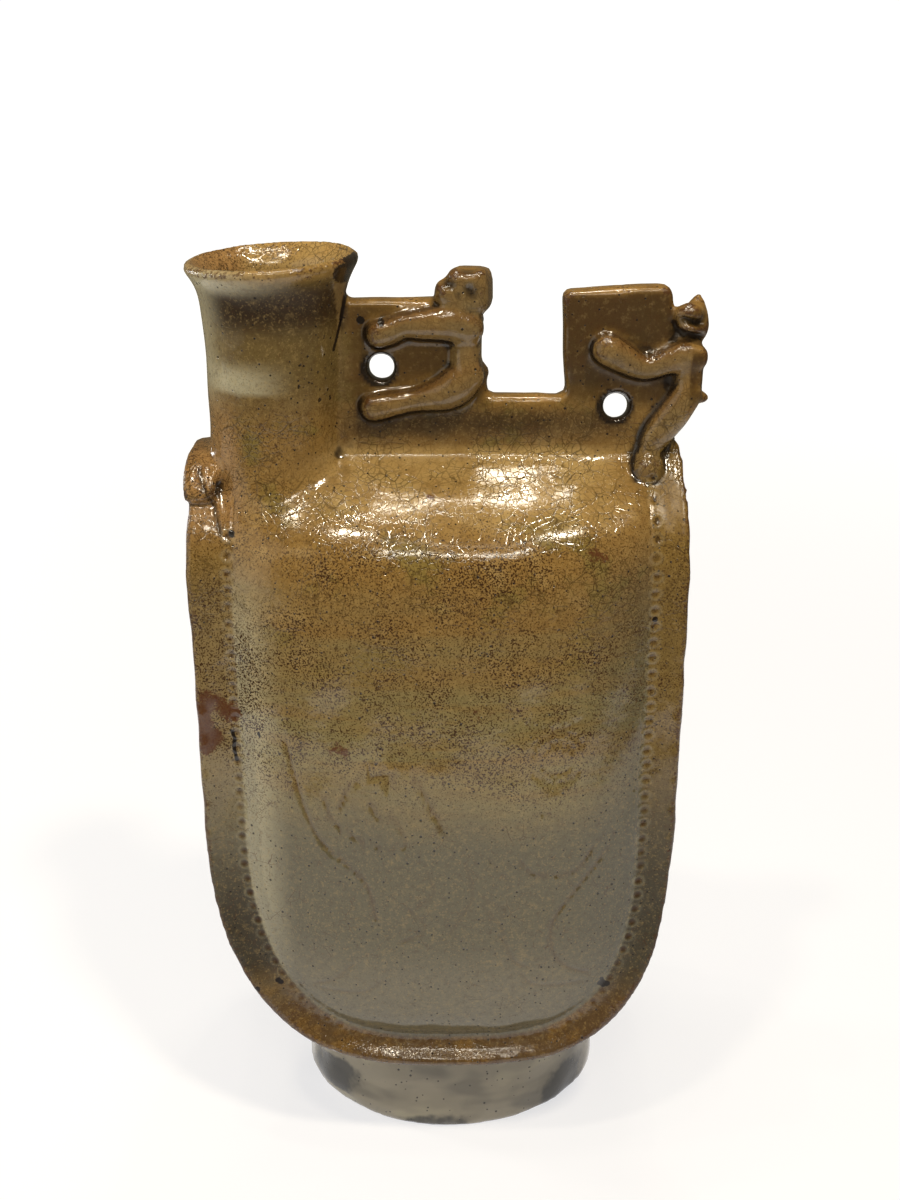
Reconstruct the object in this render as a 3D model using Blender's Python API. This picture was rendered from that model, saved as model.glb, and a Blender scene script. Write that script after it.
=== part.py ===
# Glazed flask in the shape of a stitched leather bag, with two pierced lugs and a small
# figure climbing each lug. One fired piece, hollow, open at the spout.
# Metres, +Z up, the decorated front facing -Y, the origin under the middle of the foot.

import bpy
from math import cos, exp, hypot, pi, radians, sin
from mathutils import Vector

# Walls
bag_wall = 0.0052
spout_wall = 0.0034

# Foot, an oval ring with an open recess
foot_half_width = 0.0503
foot_half_depth = 0.0388
foot_height = 0.0270
foot_taper = 0.0040
foot_ring_width = 0.0065
foot_root = 0.018
recess_clearance = 0.0012

# Front panel of the bag, inside its hem
panel_half_width = 0.05875
panel_centre_x = -0.00225
panel_drop = 0.0175
panel_height = 0.1915
panel_half_depth = 0.0485
panel_lean = 0.085
panel_lean_start = 0.0402
panel_lean_ease = 0.020
panel_bulge = 0.0110
bulge_rise = 0.022
base_pinch_rise = 0.008
shoulder_fall = 0.0120
ridge_fall = 0.0105
ridge_share = 0.13

# Hem round the panel
hem_width_left = 0.0135
hem_width_right = 0.0117
hem_width_bottom = 0.0100
hem_thickness = 0.0036
hem_scoop = 0.0012
hem_overhang = 0.0060
hem_fade_left = 0.016
hem_fade_right = 0.010
hem_end_drop = 0.002
hem_end_width = 0.0010

# Side wall between the two hems, and the underside
side_swell = 0.0090
under_swell = 0.0140
ridge_swell = 0.0012

# Spout
spout_x = -0.0505
spout_lean = 0.0018
spout_height = 0.0445
spout_radius = 0.0184
lip_radius = 0.0243
lip_height = 0.0140
lip_edge = 0.0026
lip_tilt = 0.050
spout_root = 0.036

# Lugs, one plate standing on the ridge
plate_thickness = 0.0080
plate_soft = 0.0009
plate_root = 0.016
saddle_height = 0.0055
left_lug_height = 0.0274
right_lug_height = 0.0302
left_lug_start_x = -0.0290
left_lug_end_x = 0.0084
right_lug_start_x = 0.0318
right_lug_end_x = 0.0616
lug_hole_diameter = 0.0070
left_hole_x = -0.0193
left_hole_rise = 0.0082
right_hole_x = 0.0473
right_hole_drop = 0.0032

# Figures, rolled limbs and a modelled head
limb_radius = 0.0037
limb_lift = 0.0019
torso_half_depth = 0.0078

# Strap end over the left shoulder
strap_width = 0.0100
strap_thickness = 0.0052
strap_reach = 0.0205
strap_rise = 0.0115
strap_drop = 0.0085
strap_proud = 0.0008

# Fineness of the mesh
outline_points = 72
bend_spacing = 0.018
panel_rings = (0.16, 0.40, 0.56, 0.68, 0.78, 0.89, 0.98)
cavity_points = 32
cavity_rings = (0.20, 0.56, 0.76, 0.90)
spout_sides = 30
foot_sides = 44
limb_sides = 7

# Heights that follow from the sizes above
panel_bottom_z = foot_height + panel_drop
panel_top_z = panel_bottom_z + panel_height
bend_bottom_z = panel_bottom_z + 0.40 * panel_height
bend_top_z = panel_top_z - 0.19 * panel_height
saddle_z = panel_top_z + saddle_height
left_lug_z = saddle_z + left_lug_height
right_lug_z = saddle_z + right_lug_height
spout_top_z = panel_top_z + spout_height
plate_face = plate_thickness / 2

# Squareness of the panel's outline, below on the left and the right, and above
left_power = 2.6
right_power = 3.1
top_power_left = 6.2
top_power_right = 5.6


def clear_scene():
    for old in list(bpy.data.objects):
        bpy.data.objects.remove(old, do_unlink=True)


def mix(a, b, share):
    return a + (b - a) * share


def smooth(value, low, high):
    t = min(1.0, max(0.0, (value - low) / (high - low)))
    return t * t * (3 - 2 * t)


def make_material(name, colour, roughness):
    material = bpy.data.materials.new(name)
    material.use_nodes = True
    shader = material.node_tree.nodes["Principled BSDF"]
    shader.inputs["Base Color"].default_value = (*colour, 1.0)
    shader.inputs["Roughness"].default_value = roughness
    shader.inputs["Metallic"].default_value = 0.0
    material.diffuse_color = (*colour, 1.0)
    return material


def make_object(name, points, faces):
    mesh = bpy.data.meshes.new(name)
    mesh.from_pydata([tuple(p) for p in points], [], faces)
    mesh.validate()
    thing = bpy.data.objects.new(name, mesh)
    bpy.context.collection.objects.link(thing)
    return thing


def ladder(count, start):
    """Rungs that fill a ring from its first point to the opposite one."""
    faces = []
    for i in range(count // 2):
        rung = [i, i + 1, (count - i - 1) % count, (count - i) % count]
        faces.append(tuple(start + k for k in dict.fromkeys(rung)))
    return faces


def skin(rings, start, rungs):
    """Faces over closed rings of equal length, the first and the last ring filled."""
    count = len(rings[0])
    cap = ladder(count, start) if rungs else [tuple(start + i for i in range(count))]
    last = (len(rings) - 1) * count
    faces = [face[::-1] for face in cap] + [tuple(i + last for i in face) for face in cap]
    for r in range(len(rings) - 1):
        low = start + r * count
        for i in range(count):
            j = (i + 1) % count
            faces.append((low + i, low + j, low + count + j, low + count + i))
    return faces


def loft(name, *skins, rungs=False):
    """One object from one or more separate stacks of rings."""
    points = []
    faces = []
    for rings in skins:
        faces += skin(rings, len(points), rungs)
        points += [p for ring in rings for p in ring]
    return make_object(name, points, faces)


# The bag

def outline_share(x, z):
    """Half width of the panel at a height, as a share of its full half width."""
    if z < bend_bottom_z:
        power = left_power if x < panel_centre_x else right_power
        t = min(1.0, (bend_bottom_z - z) / (bend_bottom_z - panel_bottom_z))
        return (1 - t ** power) ** (1 / power)
    if z > bend_top_z:
        power = top_power_left if x < panel_centre_x else top_power_right
        t = min(1.0, (z - bend_top_z) / (panel_top_z - bend_top_z))
        return (1 - t ** power) ** (1 / power)
    return 1.0


def outline(count):
    """Points and outward directions round the panel from the top leftward, closer where it bends."""
    steps = 1200
    loop = []
    for i in range(steps + 1):
        angle = 2 * pi * i / steps
        left = angle < pi
        upper = cos(angle) > 0
        if upper:
            power = top_power_left if left else top_power_right
            reach = panel_top_z - bend_top_z
            base = bend_top_z
        else:
            power = left_power if left else right_power
            reach = panel_bottom_z - bend_bottom_z
            base = bend_bottom_z
        x = panel_half_width * abs(sin(angle)) ** (2 / power)
        z = base + reach * abs(cos(angle)) ** (2 / power)
        loop.append((panel_centre_x - x if left else panel_centre_x + x, z))
    lengths = [0.0]
    ahead = Vector((-1.0, 0.0))
    for (ax, az), (bx, bz) in zip(loop, loop[1:]):
        step = Vector((bx - ax, bz - az))
        lengths.append(lengths[-1] + step.length + bend_spacing * step.angle(ahead, 0.0))
        ahead = step
    even = []
    k = 0
    for i in range(count):
        want = lengths[-1] * i / count
        while lengths[k + 1] <= want:
            k += 1
        t = (want - lengths[k]) / (lengths[k + 1] - lengths[k])
        even.append((mix(loop[k][0], loop[k + 1][0], t), mix(loop[k][1], loop[k + 1][1], t)))
    rows = []
    for i in range(count):
        ax, az = even[i - 1]
        bx, bz = even[(i + 1) % count]
        size = hypot(bx - ax, bz - az)
        rows.append((*even[i], (bz - az) / size, (ax - bx) / size))
    return rows


def shoulder(z):
    """A small share along the ridge, swelling to 1 below the shoulder."""
    fall = max(0.0, panel_top_z - ridge_fall - z)
    return ridge_share + (1 - ridge_share) * (1 - exp(-(fall / shoulder_fall) ** 1.45))


def centre_depth(z):
    """Half depth of the bag along its middle."""
    rise = z - panel_bottom_z
    past = rise - panel_lean_start
    lean = panel_lean * (hypot(past, panel_lean_ease) + past) / 2
    base = 1 - 0.10 * exp(-max(0.0, rise) / base_pinch_rise)
    return (panel_half_depth - lean) * shoulder(z) * base


def panel_depth(x, z):
    """Half depth of the bag at any place on the panel."""
    rise = max(0.0, z - panel_bottom_z)
    half = max(1e-6, panel_half_width * outline_share(x, z))
    share = min(1.0, abs(x - panel_centre_x) / half)
    drop = panel_bulge * (1 - exp(-rise / bulge_rise)) * shoulder(z) ** 1.4
    return centre_depth(z) - drop * share ** 2.8


def hem_share(x, z):
    """1 where the hem stands at its full width, 0 along the ridge."""
    fade = hem_fade_left if x < panel_centre_x else hem_fade_right
    end = panel_top_z - hem_end_drop
    return 1 - smooth(z, end - fade, end)


def hem_section(x, z, nx, nz):
    """The hem's section at a point of the outline, front to back, as outward and depth."""
    share = hem_share(x, z)
    down = max(0.0, -nz) ** 2.5
    side_width = hem_width_left if nx < 0 else hem_width_right
    width = mix(hem_end_width, mix(side_width, hem_width_bottom, down), share)
    thick = mix(hem_end_width, hem_thickness, share)
    tilt = radians(mix(6, 45, down)) * share
    seam = panel_depth(x, z)
    section = []
    for along, under in ((0, 0), (0.5, hem_scoop * share), (1, 0), (1, thick)):
        out = along * (width - 0.15 * thick)
        section.append((out * cos(tilt) + under * sin(tilt), seam + out * sin(tilt) - under * cos(tilt)))
    inner = width - 0.15 * thick - mix(0.4 * hem_end_width, hem_overhang, share)
    back = (inner * cos(tilt) + thick * sin(tilt), seam + inner * sin(tilt) - thick * cos(tilt))
    swell = mix(ridge_swell, mix(side_swell, under_swell, down), share)
    return section, back, swell


def bag_rings(count, shares, inset, hemmed):
    """Rings over half of the bag, from the middle of the front to the middle of the side."""
    rows = outline(count)
    medial_low = panel_bottom_z + 0.30 * panel_height
    medial_high = panel_top_z - 0.25 * panel_height
    roof_drop = (ridge_fall + inset) / (panel_top_z - medial_high) if inset else 0.0
    rings = []
    for share in shares:
        ring = []
        for x, z, nx, nz in rows:
            z -= roof_drop * max(0.0, z - medial_high)
            mid_z = min(medial_high, max(medial_low, z))
            px = mix(panel_centre_x, x, share)
            pz = mix(mid_z, z, share)
            ring.append((px, inset - panel_depth(px, pz), pz))
        rings.append(ring)
    edge = []
    wall = [[], []]
    middle = []
    for x, z, nx, nz in rows:
        section, back, swell = hem_section(x, z, nx, nz)
        if hemmed:
            edge.append([(x + nx * out, -deep, z + nz * out) for out, deep in section])
            edge[-1].append((x + nx * back[0], -back[1], z + nz * back[0]))
        lower = 0.9 * roof_drop * max(0.0, z - medial_high)
        reach = mix(back[1], 0.5 * back[1], min(1.0, inset / (0.8 * bag_wall)) * (1 - smooth(-nz, -1, 0)))
        for ring, v in zip(wall, (0.80, 0.42)):
            out = mix(back[0], swell, 1 - v ** 2.2) - inset
            ring.append((x + nx * out, -reach * v, z + nz * out - lower))
        out = swell - inset
        middle.append((x + nx * out, 0.0, z + nz * out - lower))
    if hemmed:
        rings += [list(ring) for ring in zip(*edge)]
    return rings + wall, middle


def make_bag(name, count, shares, inset, hemmed):
    front, middle = bag_rings(count, shares, inset, hemmed)
    back = [[(x, -y, z) for x, y, z in ring] for ring in front]
    return loft(name, back + [middle] + front[::-1], rungs=True)


# Turned and swept forms

def oval_ring(half_width, half_depth, z, sides):
    angles = [2 * pi * i / sides for i in range(sides)]
    return [(half_width * cos(a), half_depth * sin(a), z) for a in angles]


def make_foot():
    top = panel_bottom_z + foot_root
    worn = 0.1 * foot_ring_width
    rows = (
        (0.0, worn),
        (worn, 0.0),
        (0.22 * foot_height, 0.08 * foot_taper),
        (foot_height, foot_taper),
        (top, 1.12 * foot_taper),
    )
    rings = []
    for z, less in rows:
        rings.append(oval_ring(foot_half_width - less, foot_half_depth - less, z, foot_sides))
    return loft("foot_form", rings)


def make_recess():
    top = panel_bottom_z - under_swell - recess_clearance
    less = foot_ring_width
    rings = []
    for z, more in ((-0.15 * top, 0.0), (0.05 * top, 0.0), (0.8 * top, foot_taper), (top, 2.5 * foot_taper)):
        rings.append(oval_ring(foot_half_width - less - more, foot_half_depth - less - more, z, foot_sides))
    return loft("recess_cut", rings)


def spout_ring(radius, rise):
    """A ring of the spout at a height above the bag's top, on its leaning, tilted axis."""
    centre_x = spout_x + spout_lean * rise / spout_height
    tip = smooth(rise, spout_height - lip_height, spout_height)
    ring = []
    for i in range(spout_sides):
        angle = 2 * pi * i / spout_sides
        x = radius * cos(angle)
        z = panel_top_z + rise + lip_tilt * x * tip
        ring.append((centre_x + x, radius * sin(angle), z))
    return ring


def make_spout():
    flare = lip_radius - spout_radius
    lip = spout_height - lip_height
    rows = (
        (0.78 * spout_radius, -spout_root),
        (spout_radius, -0.55 * spout_root),
        (spout_radius, 0.0),
        (spout_radius + 0.10 * flare, 0.55 * lip),
        (spout_radius + 0.24 * flare, lip),
        (spout_radius + 0.45 * flare, lip + 0.45 * lip_height),
        (spout_radius + 0.74 * flare, lip + 0.70 * lip_height),
        (lip_radius, spout_height - 0.6 * lip_edge),
        (lip_radius - 0.35 * lip_edge, spout_height),
    )
    return loft("spout_form", [spout_ring(radius, rise) for radius, rise in rows])


def make_bore():
    bore = spout_radius - spout_wall
    mouth = lip_radius - lip_edge
    rows = (
        (0.92 * bore, -0.94 * spout_root),
        (bore, 0.0),
        (mix(bore, mouth, 0.09), 0.52 * spout_height),
        (mix(bore, mouth, 0.27), spout_height - 0.55 * lip_height),
        (mix(bore, mouth, 0.55), spout_height - 0.25 * lip_height),
        (mouth, spout_height - 0.15 * lip_edge),
        (mouth + 0.25 * lip_edge, spout_height + 2 * lip_edge),
    )
    return loft("bore_cut", [spout_ring(radius, rise) for radius, rise in rows])


def rounded_corners(corners, steps=3):
    """Corners as x, z and radius, each turned into an arc."""
    found = []
    for i, (x, z, radius) in enumerate(corners):
        here = Vector((x, z))
        before = (Vector(corners[i - 1][:2]) - here).normalized()
        after = (Vector(corners[(i + 1) % len(corners)][:2]) - here).normalized()
        if radius == 0:
            found.append((x, z))
            continue
        start = here + before * radius
        end = here + after * radius
        for k in range(steps + 1):
            t = k / steps
            p = start * (1 - t) ** 2 + here * 2 * t * (1 - t) + end * t * t
            found.append((p.x, p.y))
    return found


def make_plate():
    """Ridge, saddle and both lugs, one plate with softened edges."""
    root = panel_top_z - plate_root
    inside_spout_x = spout_x + 0.65 * spout_radius
    soft = plate_soft
    corners = (
        (inside_spout_x, root, 0),
        (right_lug_end_x - 4.4 * soft, root, 0),
        (right_lug_end_x + 0.7 * soft, panel_top_z - 0.25 * plate_root, 3.3 * soft),
        (right_lug_end_x - 0.4 * soft, right_lug_z + 0.9 * soft, 2.9 * soft),
        (right_lug_start_x - 1.1 * soft, right_lug_z - 0.7 * soft, 2.4 * soft),
        (right_lug_start_x + 1.1 * soft, saddle_z, 1.3 * soft),
        (left_lug_end_x + 0.7 * soft, saddle_z, 1.3 * soft),
        (left_lug_end_x, left_lug_z - 0.4 * soft, 2.4 * soft),
        (left_lug_start_x, left_lug_z, 3.3 * soft),
        (left_lug_start_x - 2.2 * soft, left_lug_z - 0.51 * left_lug_height, 2.2 * soft),
        (inside_spout_x, left_lug_z - 0.66 * left_lug_height, 0),
    )
    flat = rounded_corners(corners)
    rings = []
    for y, inset in ((plate_face, soft), (plate_face - soft, 0), (soft - plate_face, 0), (-plate_face, soft)):
        ring = []
        for i in range(len(flat)):
            ax, az = flat[i - 1]
            bx, bz = flat[(i + 1) % len(flat)]
            size = hypot(bx - ax, bz - az)
            x, z = flat[i]
            ring.append((x - inset * (bz - az) / size, y, z + inset * (bx - ax) / size))
        rings.append(ring)
    return loft("plate_form", rings)


def make_hole(name, x, z):
    rings = []
    for y in (1.6 * plate_thickness, -1.6 * plate_thickness):
        angles = [2 * pi * i / 16 for i in range(16)]
        radius = lug_hole_diameter / 2
        rings.append([(x + radius * cos(a), y, z + radius * sin(a)) for a in angles])
    return loft(name, rings)


def make_strap():
    """The hem's thick upper end, folded over the left shoulder from front to back."""
    middle_x = panel_centre_x - panel_half_width - hem_width_left - strap_proud + strap_width / 2
    base_z = panel_top_z - strap_drop - strap_rise
    rings = []
    steps = 14
    for i in range(steps + 1):
        angle = pi * i / steps
        ring = []
        for k in range(8):
            turn = pi / 8 + 2 * pi * k / 8
            side = cos(turn) / cos(pi / 8)
            lift = sin(turn) / sin(pi / 8) * 0.41
            out = strap_thickness * (lift - 0.5) * (0.80 + 0.20 * sin(angle))
            x = middle_x + side * strap_width / 2 * (0.90 + 0.10 * sin(angle))
            y = cos(angle) * (strap_reach + out)
            z = base_z + sin(angle) * (strap_rise + out)
            ring.append((x, y, z))
        rings.append(ring)
    return loft("strap_form", rings)


def path(points, count):
    """Points on a smooth curve through a few chosen ones."""
    spots = [Vector(p) for p in points]
    spots = [spots[0] * 2 - spots[1]] + spots + [spots[-1] * 2 - spots[-2]]
    found = []
    for i in range(count):
        at = (len(spots) - 3) * i / (count - 1)
        k = min(len(spots) - 4, int(at))
        t = at - k
        a, b, c, d = spots[k:k + 4]
        found.append(0.5 * (b * 2 + (c - a) * t + (a * 2 - b * 5 + c * 4 - d) * t * t + (b * 3 - a - c * 3 + d) * t ** 3))
    return found


def limb_rings(points, radii, side, count):
    """A rolled limb with round ends, lying on the plate and the bag on one side."""
    flat = path([(x, 0.0, z) for x, z in points], count)
    thick = path([(r, 0.0, 0.0) for r in radii], count)
    spots = []
    for p, r in zip(flat, thick):
        under = max(plate_face, panel_depth(p.x, p.z) if p.z < panel_top_z else 0.0)
        spots.append(Vector((p.x, -side * (under + limb_lift), p.z)))
    rings = []
    rows = []
    for i, (spot, r) in enumerate(zip(spots, thick)):
        ahead = (spots[min(i + 1, count - 1)] - spots[max(i - 1, 0)]).normalized()
        if i == 0:
            rows += [(spot - ahead * r.x * 0.92, ahead, r.x * 0.42), (spot - ahead * r.x * 0.55, ahead, r.x * 0.84)]
        rows.append((spot, ahead, r.x))
        if i == count - 1:
            rows += [(spot + ahead * r.x * 0.55, ahead, r.x * 0.84), (spot + ahead * r.x * 0.92, ahead, r.x * 0.42)]
    for spot, ahead, r in rows:
        across = ahead.cross(Vector((0, 1, 0))).normalized()
        front = across.cross(ahead).normalized()
        ring = []
        for k in range(limb_sides):
            turn = 2 * pi * k / limb_sides
            ring.append(spot + across * r * cos(turn) - front * r * sin(turn))
        rings.append(ring)
    return rings


def make_limb(name, anchor, height, points, radii, count=7):
    """A limb given as shares of its lug's height, from the foot of the lug's end."""
    placed = [(anchor[0] + height * x, anchor[1] + height * z) for x, z in points]
    sizes = [limb_radius * share for share in radii]
    return loft(name, limb_rings(placed, sizes, 1, count), limb_rings(placed, sizes, -1, count))


def make_lump(name, anchor, height, place, extent, power, taper=0.0, lean=0.0):
    """A rounded block, narrower and leaning towards its top where asked."""
    rings = []
    sides = 12
    steps = 7
    centre = (anchor[0] + height * place[0], height * place[1], anchor[1] + height * place[2])
    halves = [height * share for share in extent]
    for i in range(1, steps):
        rise = -cos(pi * i / steps)
        up = abs(rise) ** (2 / power) * (1 if rise > 0 else -1)
        wide = sin(pi * i / steps) ** (2 / power) * (1 - taper * (up + 1) / 2)
        ring = []
        for k in range(sides):
            turn = 2 * pi * k / sides
            cx = abs(cos(turn)) ** (2 / power) * (1 if cos(turn) > 0 else -1)
            cy = abs(sin(turn)) ** (2 / power) * (1 if sin(turn) > 0 else -1)
            x = centre[0] + halves[0] * wide * cx + height * lean * (up + 1) / 2
            ring.append((x, centre[1] + halves[1] * wide * cy, centre[2] + halves[2] * up))
        rings.append(ring)
    return loft(name, rings)


# The two figures, as shares of the height of their lugs, from the foot of the lug's right end

def left_figure():
    anchor = (left_lug_end_x, saddle_z)
    height = left_lug_height
    torso = torso_half_depth / height
    return [
        make_limb("left_arm", anchor, height, ((-1.029, 0.664), (-0.876, 0.672), (-0.613, 0.730), (-0.336, 0.752),
                                               (-0.182, 0.723)), (1.0, 0.94, 0.92, 1.15, 1.15)),
        make_limb("left_leg", anchor, height, ((-1.139, -0.066), (-0.847, -0.036), (-0.533, 0.026), (-0.328, 0.161),
                                               (-0.204, 0.365)), (1.0, 1.02, 1.12, 1.28, 1.1)),
        make_lump("left_torso", anchor, height, (-0.146, 0.0, 0.456), (0.168, torso, 0.518), 2.6),
        make_lump("left_head", anchor, height, (-0.109, -0.044, 1.080), (0.248, 0.241, 0.204), 3.4, 0.10, 0.022),
        make_lump("left_snout", anchor, height, (-0.358, -0.109, 1.066), (0.102, 0.161, 0.117), 2.4),
        make_lump("left_tail", anchor, height, (0.029, 0.0, 0.241), (0.080, 0.088, 0.109), 2.2),
    ]


def right_figure():
    anchor = (right_lug_end_x, saddle_z)
    height = right_lug_height
    torso = torso_half_depth / height
    return [
        make_limb("right_arm", anchor, height, ((-0.629, 0.464), (-0.464, 0.417), (-0.258, 0.291), (-0.033, 0.371),
                                                (0.192, 0.464)), (1.0, 1.0, 0.98, 1.12, 1.15)),
        make_limb("right_leg", anchor, height, ((-0.225, -0.610), (-0.196, -0.410), (-0.026, -0.166),
                                                (0.166, 0.060)), (1.06, 0.98, 1.42, 1.40)),
        make_lump("right_torso", anchor, height, (0.172, 0.0, 0.215), (0.152, torso, 0.371), 2.6),
        make_lump("right_head", anchor, height, (0.166, -0.026, 0.745), (0.225, 0.205, 0.225), 2.4, 0.56, 0.060),
        make_lump("right_brow", anchor, height, (0.033, -0.146, 0.738), (0.099, 0.093, 0.060), 2.2),
        make_lump("right_tail", anchor, height, (0.338, 0.0, -0.033), (0.093, 0.079, 0.070), 2.0),
    ]


def use_boolean(flask, operand, operation):
    cut = flask.modifiers.new(operand.name, "BOOLEAN")
    cut.operation = operation
    cut.solver = "EXACT"
    cut.object = operand
    operand.hide_render = True
    operand.display_type = "WIRE"
    operand.parent = flask


def main():
    clear_scene()
    flask = make_bag("bag_flask", outline_points, panel_rings, 0.0, True)
    flask.data.materials.append(make_material("celadon_glaze", (0.42, 0.38, 0.27), 0.18))
    added = [make_foot(), make_spout(), make_plate(), make_strap()]
    added += left_figure() + right_figure()
    for form in added:
        use_boolean(flask, form, "UNION")
    removed = [
        make_bag("cavity_cut", cavity_points, cavity_rings, bag_wall, False),
        make_bore(),
        make_recess(),
        make_hole("left_hole_cut", left_hole_x, saddle_z + left_hole_rise),
        make_hole("right_hole_cut", right_hole_x, saddle_z - right_hole_drop),
    ]
    for form in removed:
        use_boolean(flask, form, "DIFFERENCE")
    flask.data.shade_smooth()
    flask.data.set_sharp_from_angle(angle=radians(35))


main()
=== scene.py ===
# A glazed flask in the shape of a stitched leather bag, fired in one piece.
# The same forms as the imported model, made finer, with worked clay and a crazed amber and grey green glaze.
import bpy
import bmesh
import numpy as np
from math import cos, pi, radians, sin
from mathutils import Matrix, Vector


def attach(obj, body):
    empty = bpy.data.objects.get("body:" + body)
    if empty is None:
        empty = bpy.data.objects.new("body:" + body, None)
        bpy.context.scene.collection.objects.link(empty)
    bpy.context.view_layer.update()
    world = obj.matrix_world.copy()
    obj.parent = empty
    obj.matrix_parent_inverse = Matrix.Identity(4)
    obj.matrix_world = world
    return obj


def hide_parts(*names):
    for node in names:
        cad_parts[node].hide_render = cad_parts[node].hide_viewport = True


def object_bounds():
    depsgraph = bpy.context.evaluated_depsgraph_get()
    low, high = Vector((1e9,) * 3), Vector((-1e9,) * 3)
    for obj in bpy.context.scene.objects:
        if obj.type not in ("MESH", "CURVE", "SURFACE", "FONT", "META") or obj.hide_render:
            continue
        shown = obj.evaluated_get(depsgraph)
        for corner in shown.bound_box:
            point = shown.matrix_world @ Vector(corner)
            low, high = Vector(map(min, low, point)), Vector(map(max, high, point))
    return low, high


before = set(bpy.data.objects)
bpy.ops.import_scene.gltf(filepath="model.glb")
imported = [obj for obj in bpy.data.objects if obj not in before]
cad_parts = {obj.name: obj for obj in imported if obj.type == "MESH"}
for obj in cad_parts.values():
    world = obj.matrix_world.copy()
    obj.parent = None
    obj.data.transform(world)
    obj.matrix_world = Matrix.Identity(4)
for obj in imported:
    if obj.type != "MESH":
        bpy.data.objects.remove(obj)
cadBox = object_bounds()
print("frame loaded", [tuple(round(v, 4) for v in corner) for corner in cadBox])

glaze = bpy.data.materials.new("crazed_glaze")
clayMesh = {"voxel": 0.00090, "triangles": 168000, "shortest": 0.0006, "slack": 0.00002}


# Small helpers

def mix(a, b, share):
    return a + (b - a) * share


def smooth(value, low, high):
    t = np.clip((value - low) / (high - low), 0, 1)
    return t * t * (3 - 2 * t)


def bump(distance, reach):
    # 1 in the middle, falling softly to 0 at the reach
    return np.clip(1 - (distance / reach) ** 2, 0, 1) ** 2


def turns(count):
    return np.linspace(0, 2 * pi, count, endpoint=False)


def squared(angle, power):
    # a circle drawn out towards a square
    c, s = np.cos(angle), np.sin(angle)
    return np.sign(c) * np.abs(c) ** (2 / power), np.sign(s) * np.abs(s) ** (2 / power)


def stacked(*axes):
    # points from their coordinates, any of which may be one number
    return np.column_stack(np.broadcast_arrays(*axes))


def waves(points, seed, shortest, longest, count=22):
    # a smooth uneven field between about -1 and 1
    rng = np.random.default_rng(seed)
    field = np.zeros(len(points))
    for k in range(count):
        way = rng.normal(size=3)
        way /= np.linalg.norm(way)
        length = mix(shortest, longest, rng.random())
        field += np.sin(points @ way * (2 * pi / length) + rng.random() * 2 * pi)
    return field / count ** 0.5


def path(points, count):
    # a smooth curve through a few chosen points
    spots = np.array(points, float)
    spots = np.vstack([spots[:1] * 2 - spots[1:2], spots, spots[-1:] * 2 - spots[-2:-1]])
    at = np.linspace(0, len(spots) - 3, count)
    k = np.minimum(len(spots) - 4, at.astype(int))
    t = (at - k)[:, None]
    a, b, c, d = spots[k], spots[k + 1], spots[k + 2], spots[k + 3]
    return 0.5 * (b * 2 + (c - a) * t + (a * 2 - b * 5 + c * 4 - d) * t ** 2 + (b * 3 - a - c * 3 + d) * t ** 3)


def skin(rings, ladder=False):
    # faces over closed rings of equal length, the first and the last ring filled
    rings = np.asarray(rings)
    rows, count = rings.shape[:2]
    grid = np.arange(rows * count).reshape(rows, count)
    after = np.roll(grid, -1, axis=1)
    faces = np.stack([grid[:-1], after[:-1], after[1:], grid[1:]], axis=-1).reshape(-1, 4).tolist()
    for ring, turned in ((grid[0], True), (grid[-1], False)):
        caps = [ring.tolist()]
        if ladder:
            rungs = [(i, i + 1, (count - i - 1) % count, (count - i) % count) for i in range(count // 2)]
            caps = [[int(ring[k]) for k in dict.fromkeys(rung)] for rung in rungs]
        faces += [cap[::-1] if turned else cap for cap in caps]
    return rings.reshape(-1, 3), faces


def meshFrom(name, forms):
    points, faces, start = [], [], 0
    for spots, sides in forms:
        points.append(spots)
        faces += [[start + i for i in side] for side in sides]
        start += len(spots)
    mesh = bpy.data.meshes.new(name)
    mesh.from_pydata(np.vstack(points).tolist(), [], faces)
    mesh.update()
    thing = bpy.data.objects.new(name, mesh)
    bpy.context.collection.objects.link(thing)
    return thing


def applyTo(thing, kind, **settings):
    # adds one modifier and takes its result as the mesh
    modifier = thing.modifiers.new(kind, kind)
    for key, value in settings.items():
        setattr(modifier, key, value)
    shown = thing.evaluated_get(bpy.context.evaluated_depsgraph_get())
    mesh = bpy.data.meshes.new_from_object(shown)
    thing.modifiers.clear()
    old = thing.data
    thing.data = mesh
    bpy.data.meshes.remove(old)


# Bag: panels, hems and side walls

bag = {
    "halfWidth": 0.05875, "centreX": -0.00225, "bottomZ": 0.0445, "topZ": 0.2360,
    "halfDepth": 0.0485, "lean": 0.085, "leanStart": 0.0402, "leanEase": 0.020,
    "bulge": 0.0110, "bulgeRise": 0.022, "pinchRise": 0.008,
    "shoulderFall": 0.0120, "ridgeFall": 0.0105, "ridgeShare": 0.13,
    "bendLowZ": 0.1211, "bendHighZ": 0.1996,
    "powersLow": (2.6, 3.1), "powersHigh": (6.2, 5.6),
    "sideSwell": 0.0090, "underSwell": 0.0140, "ridgeSwell": 0.0012, "wall": 0.0052,
}
hem = {
    "widthLeft": 0.0135, "widthRight": 0.0117, "widthBottom": 0.0100, "thick": 0.0036,
    "scoop": 0.0012, "overhang": 0.0060, "fadeLeft": 0.016, "fadeRight": 0.010,
    "endDrop": 0.002, "endWidth": 0.0010,
}


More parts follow.
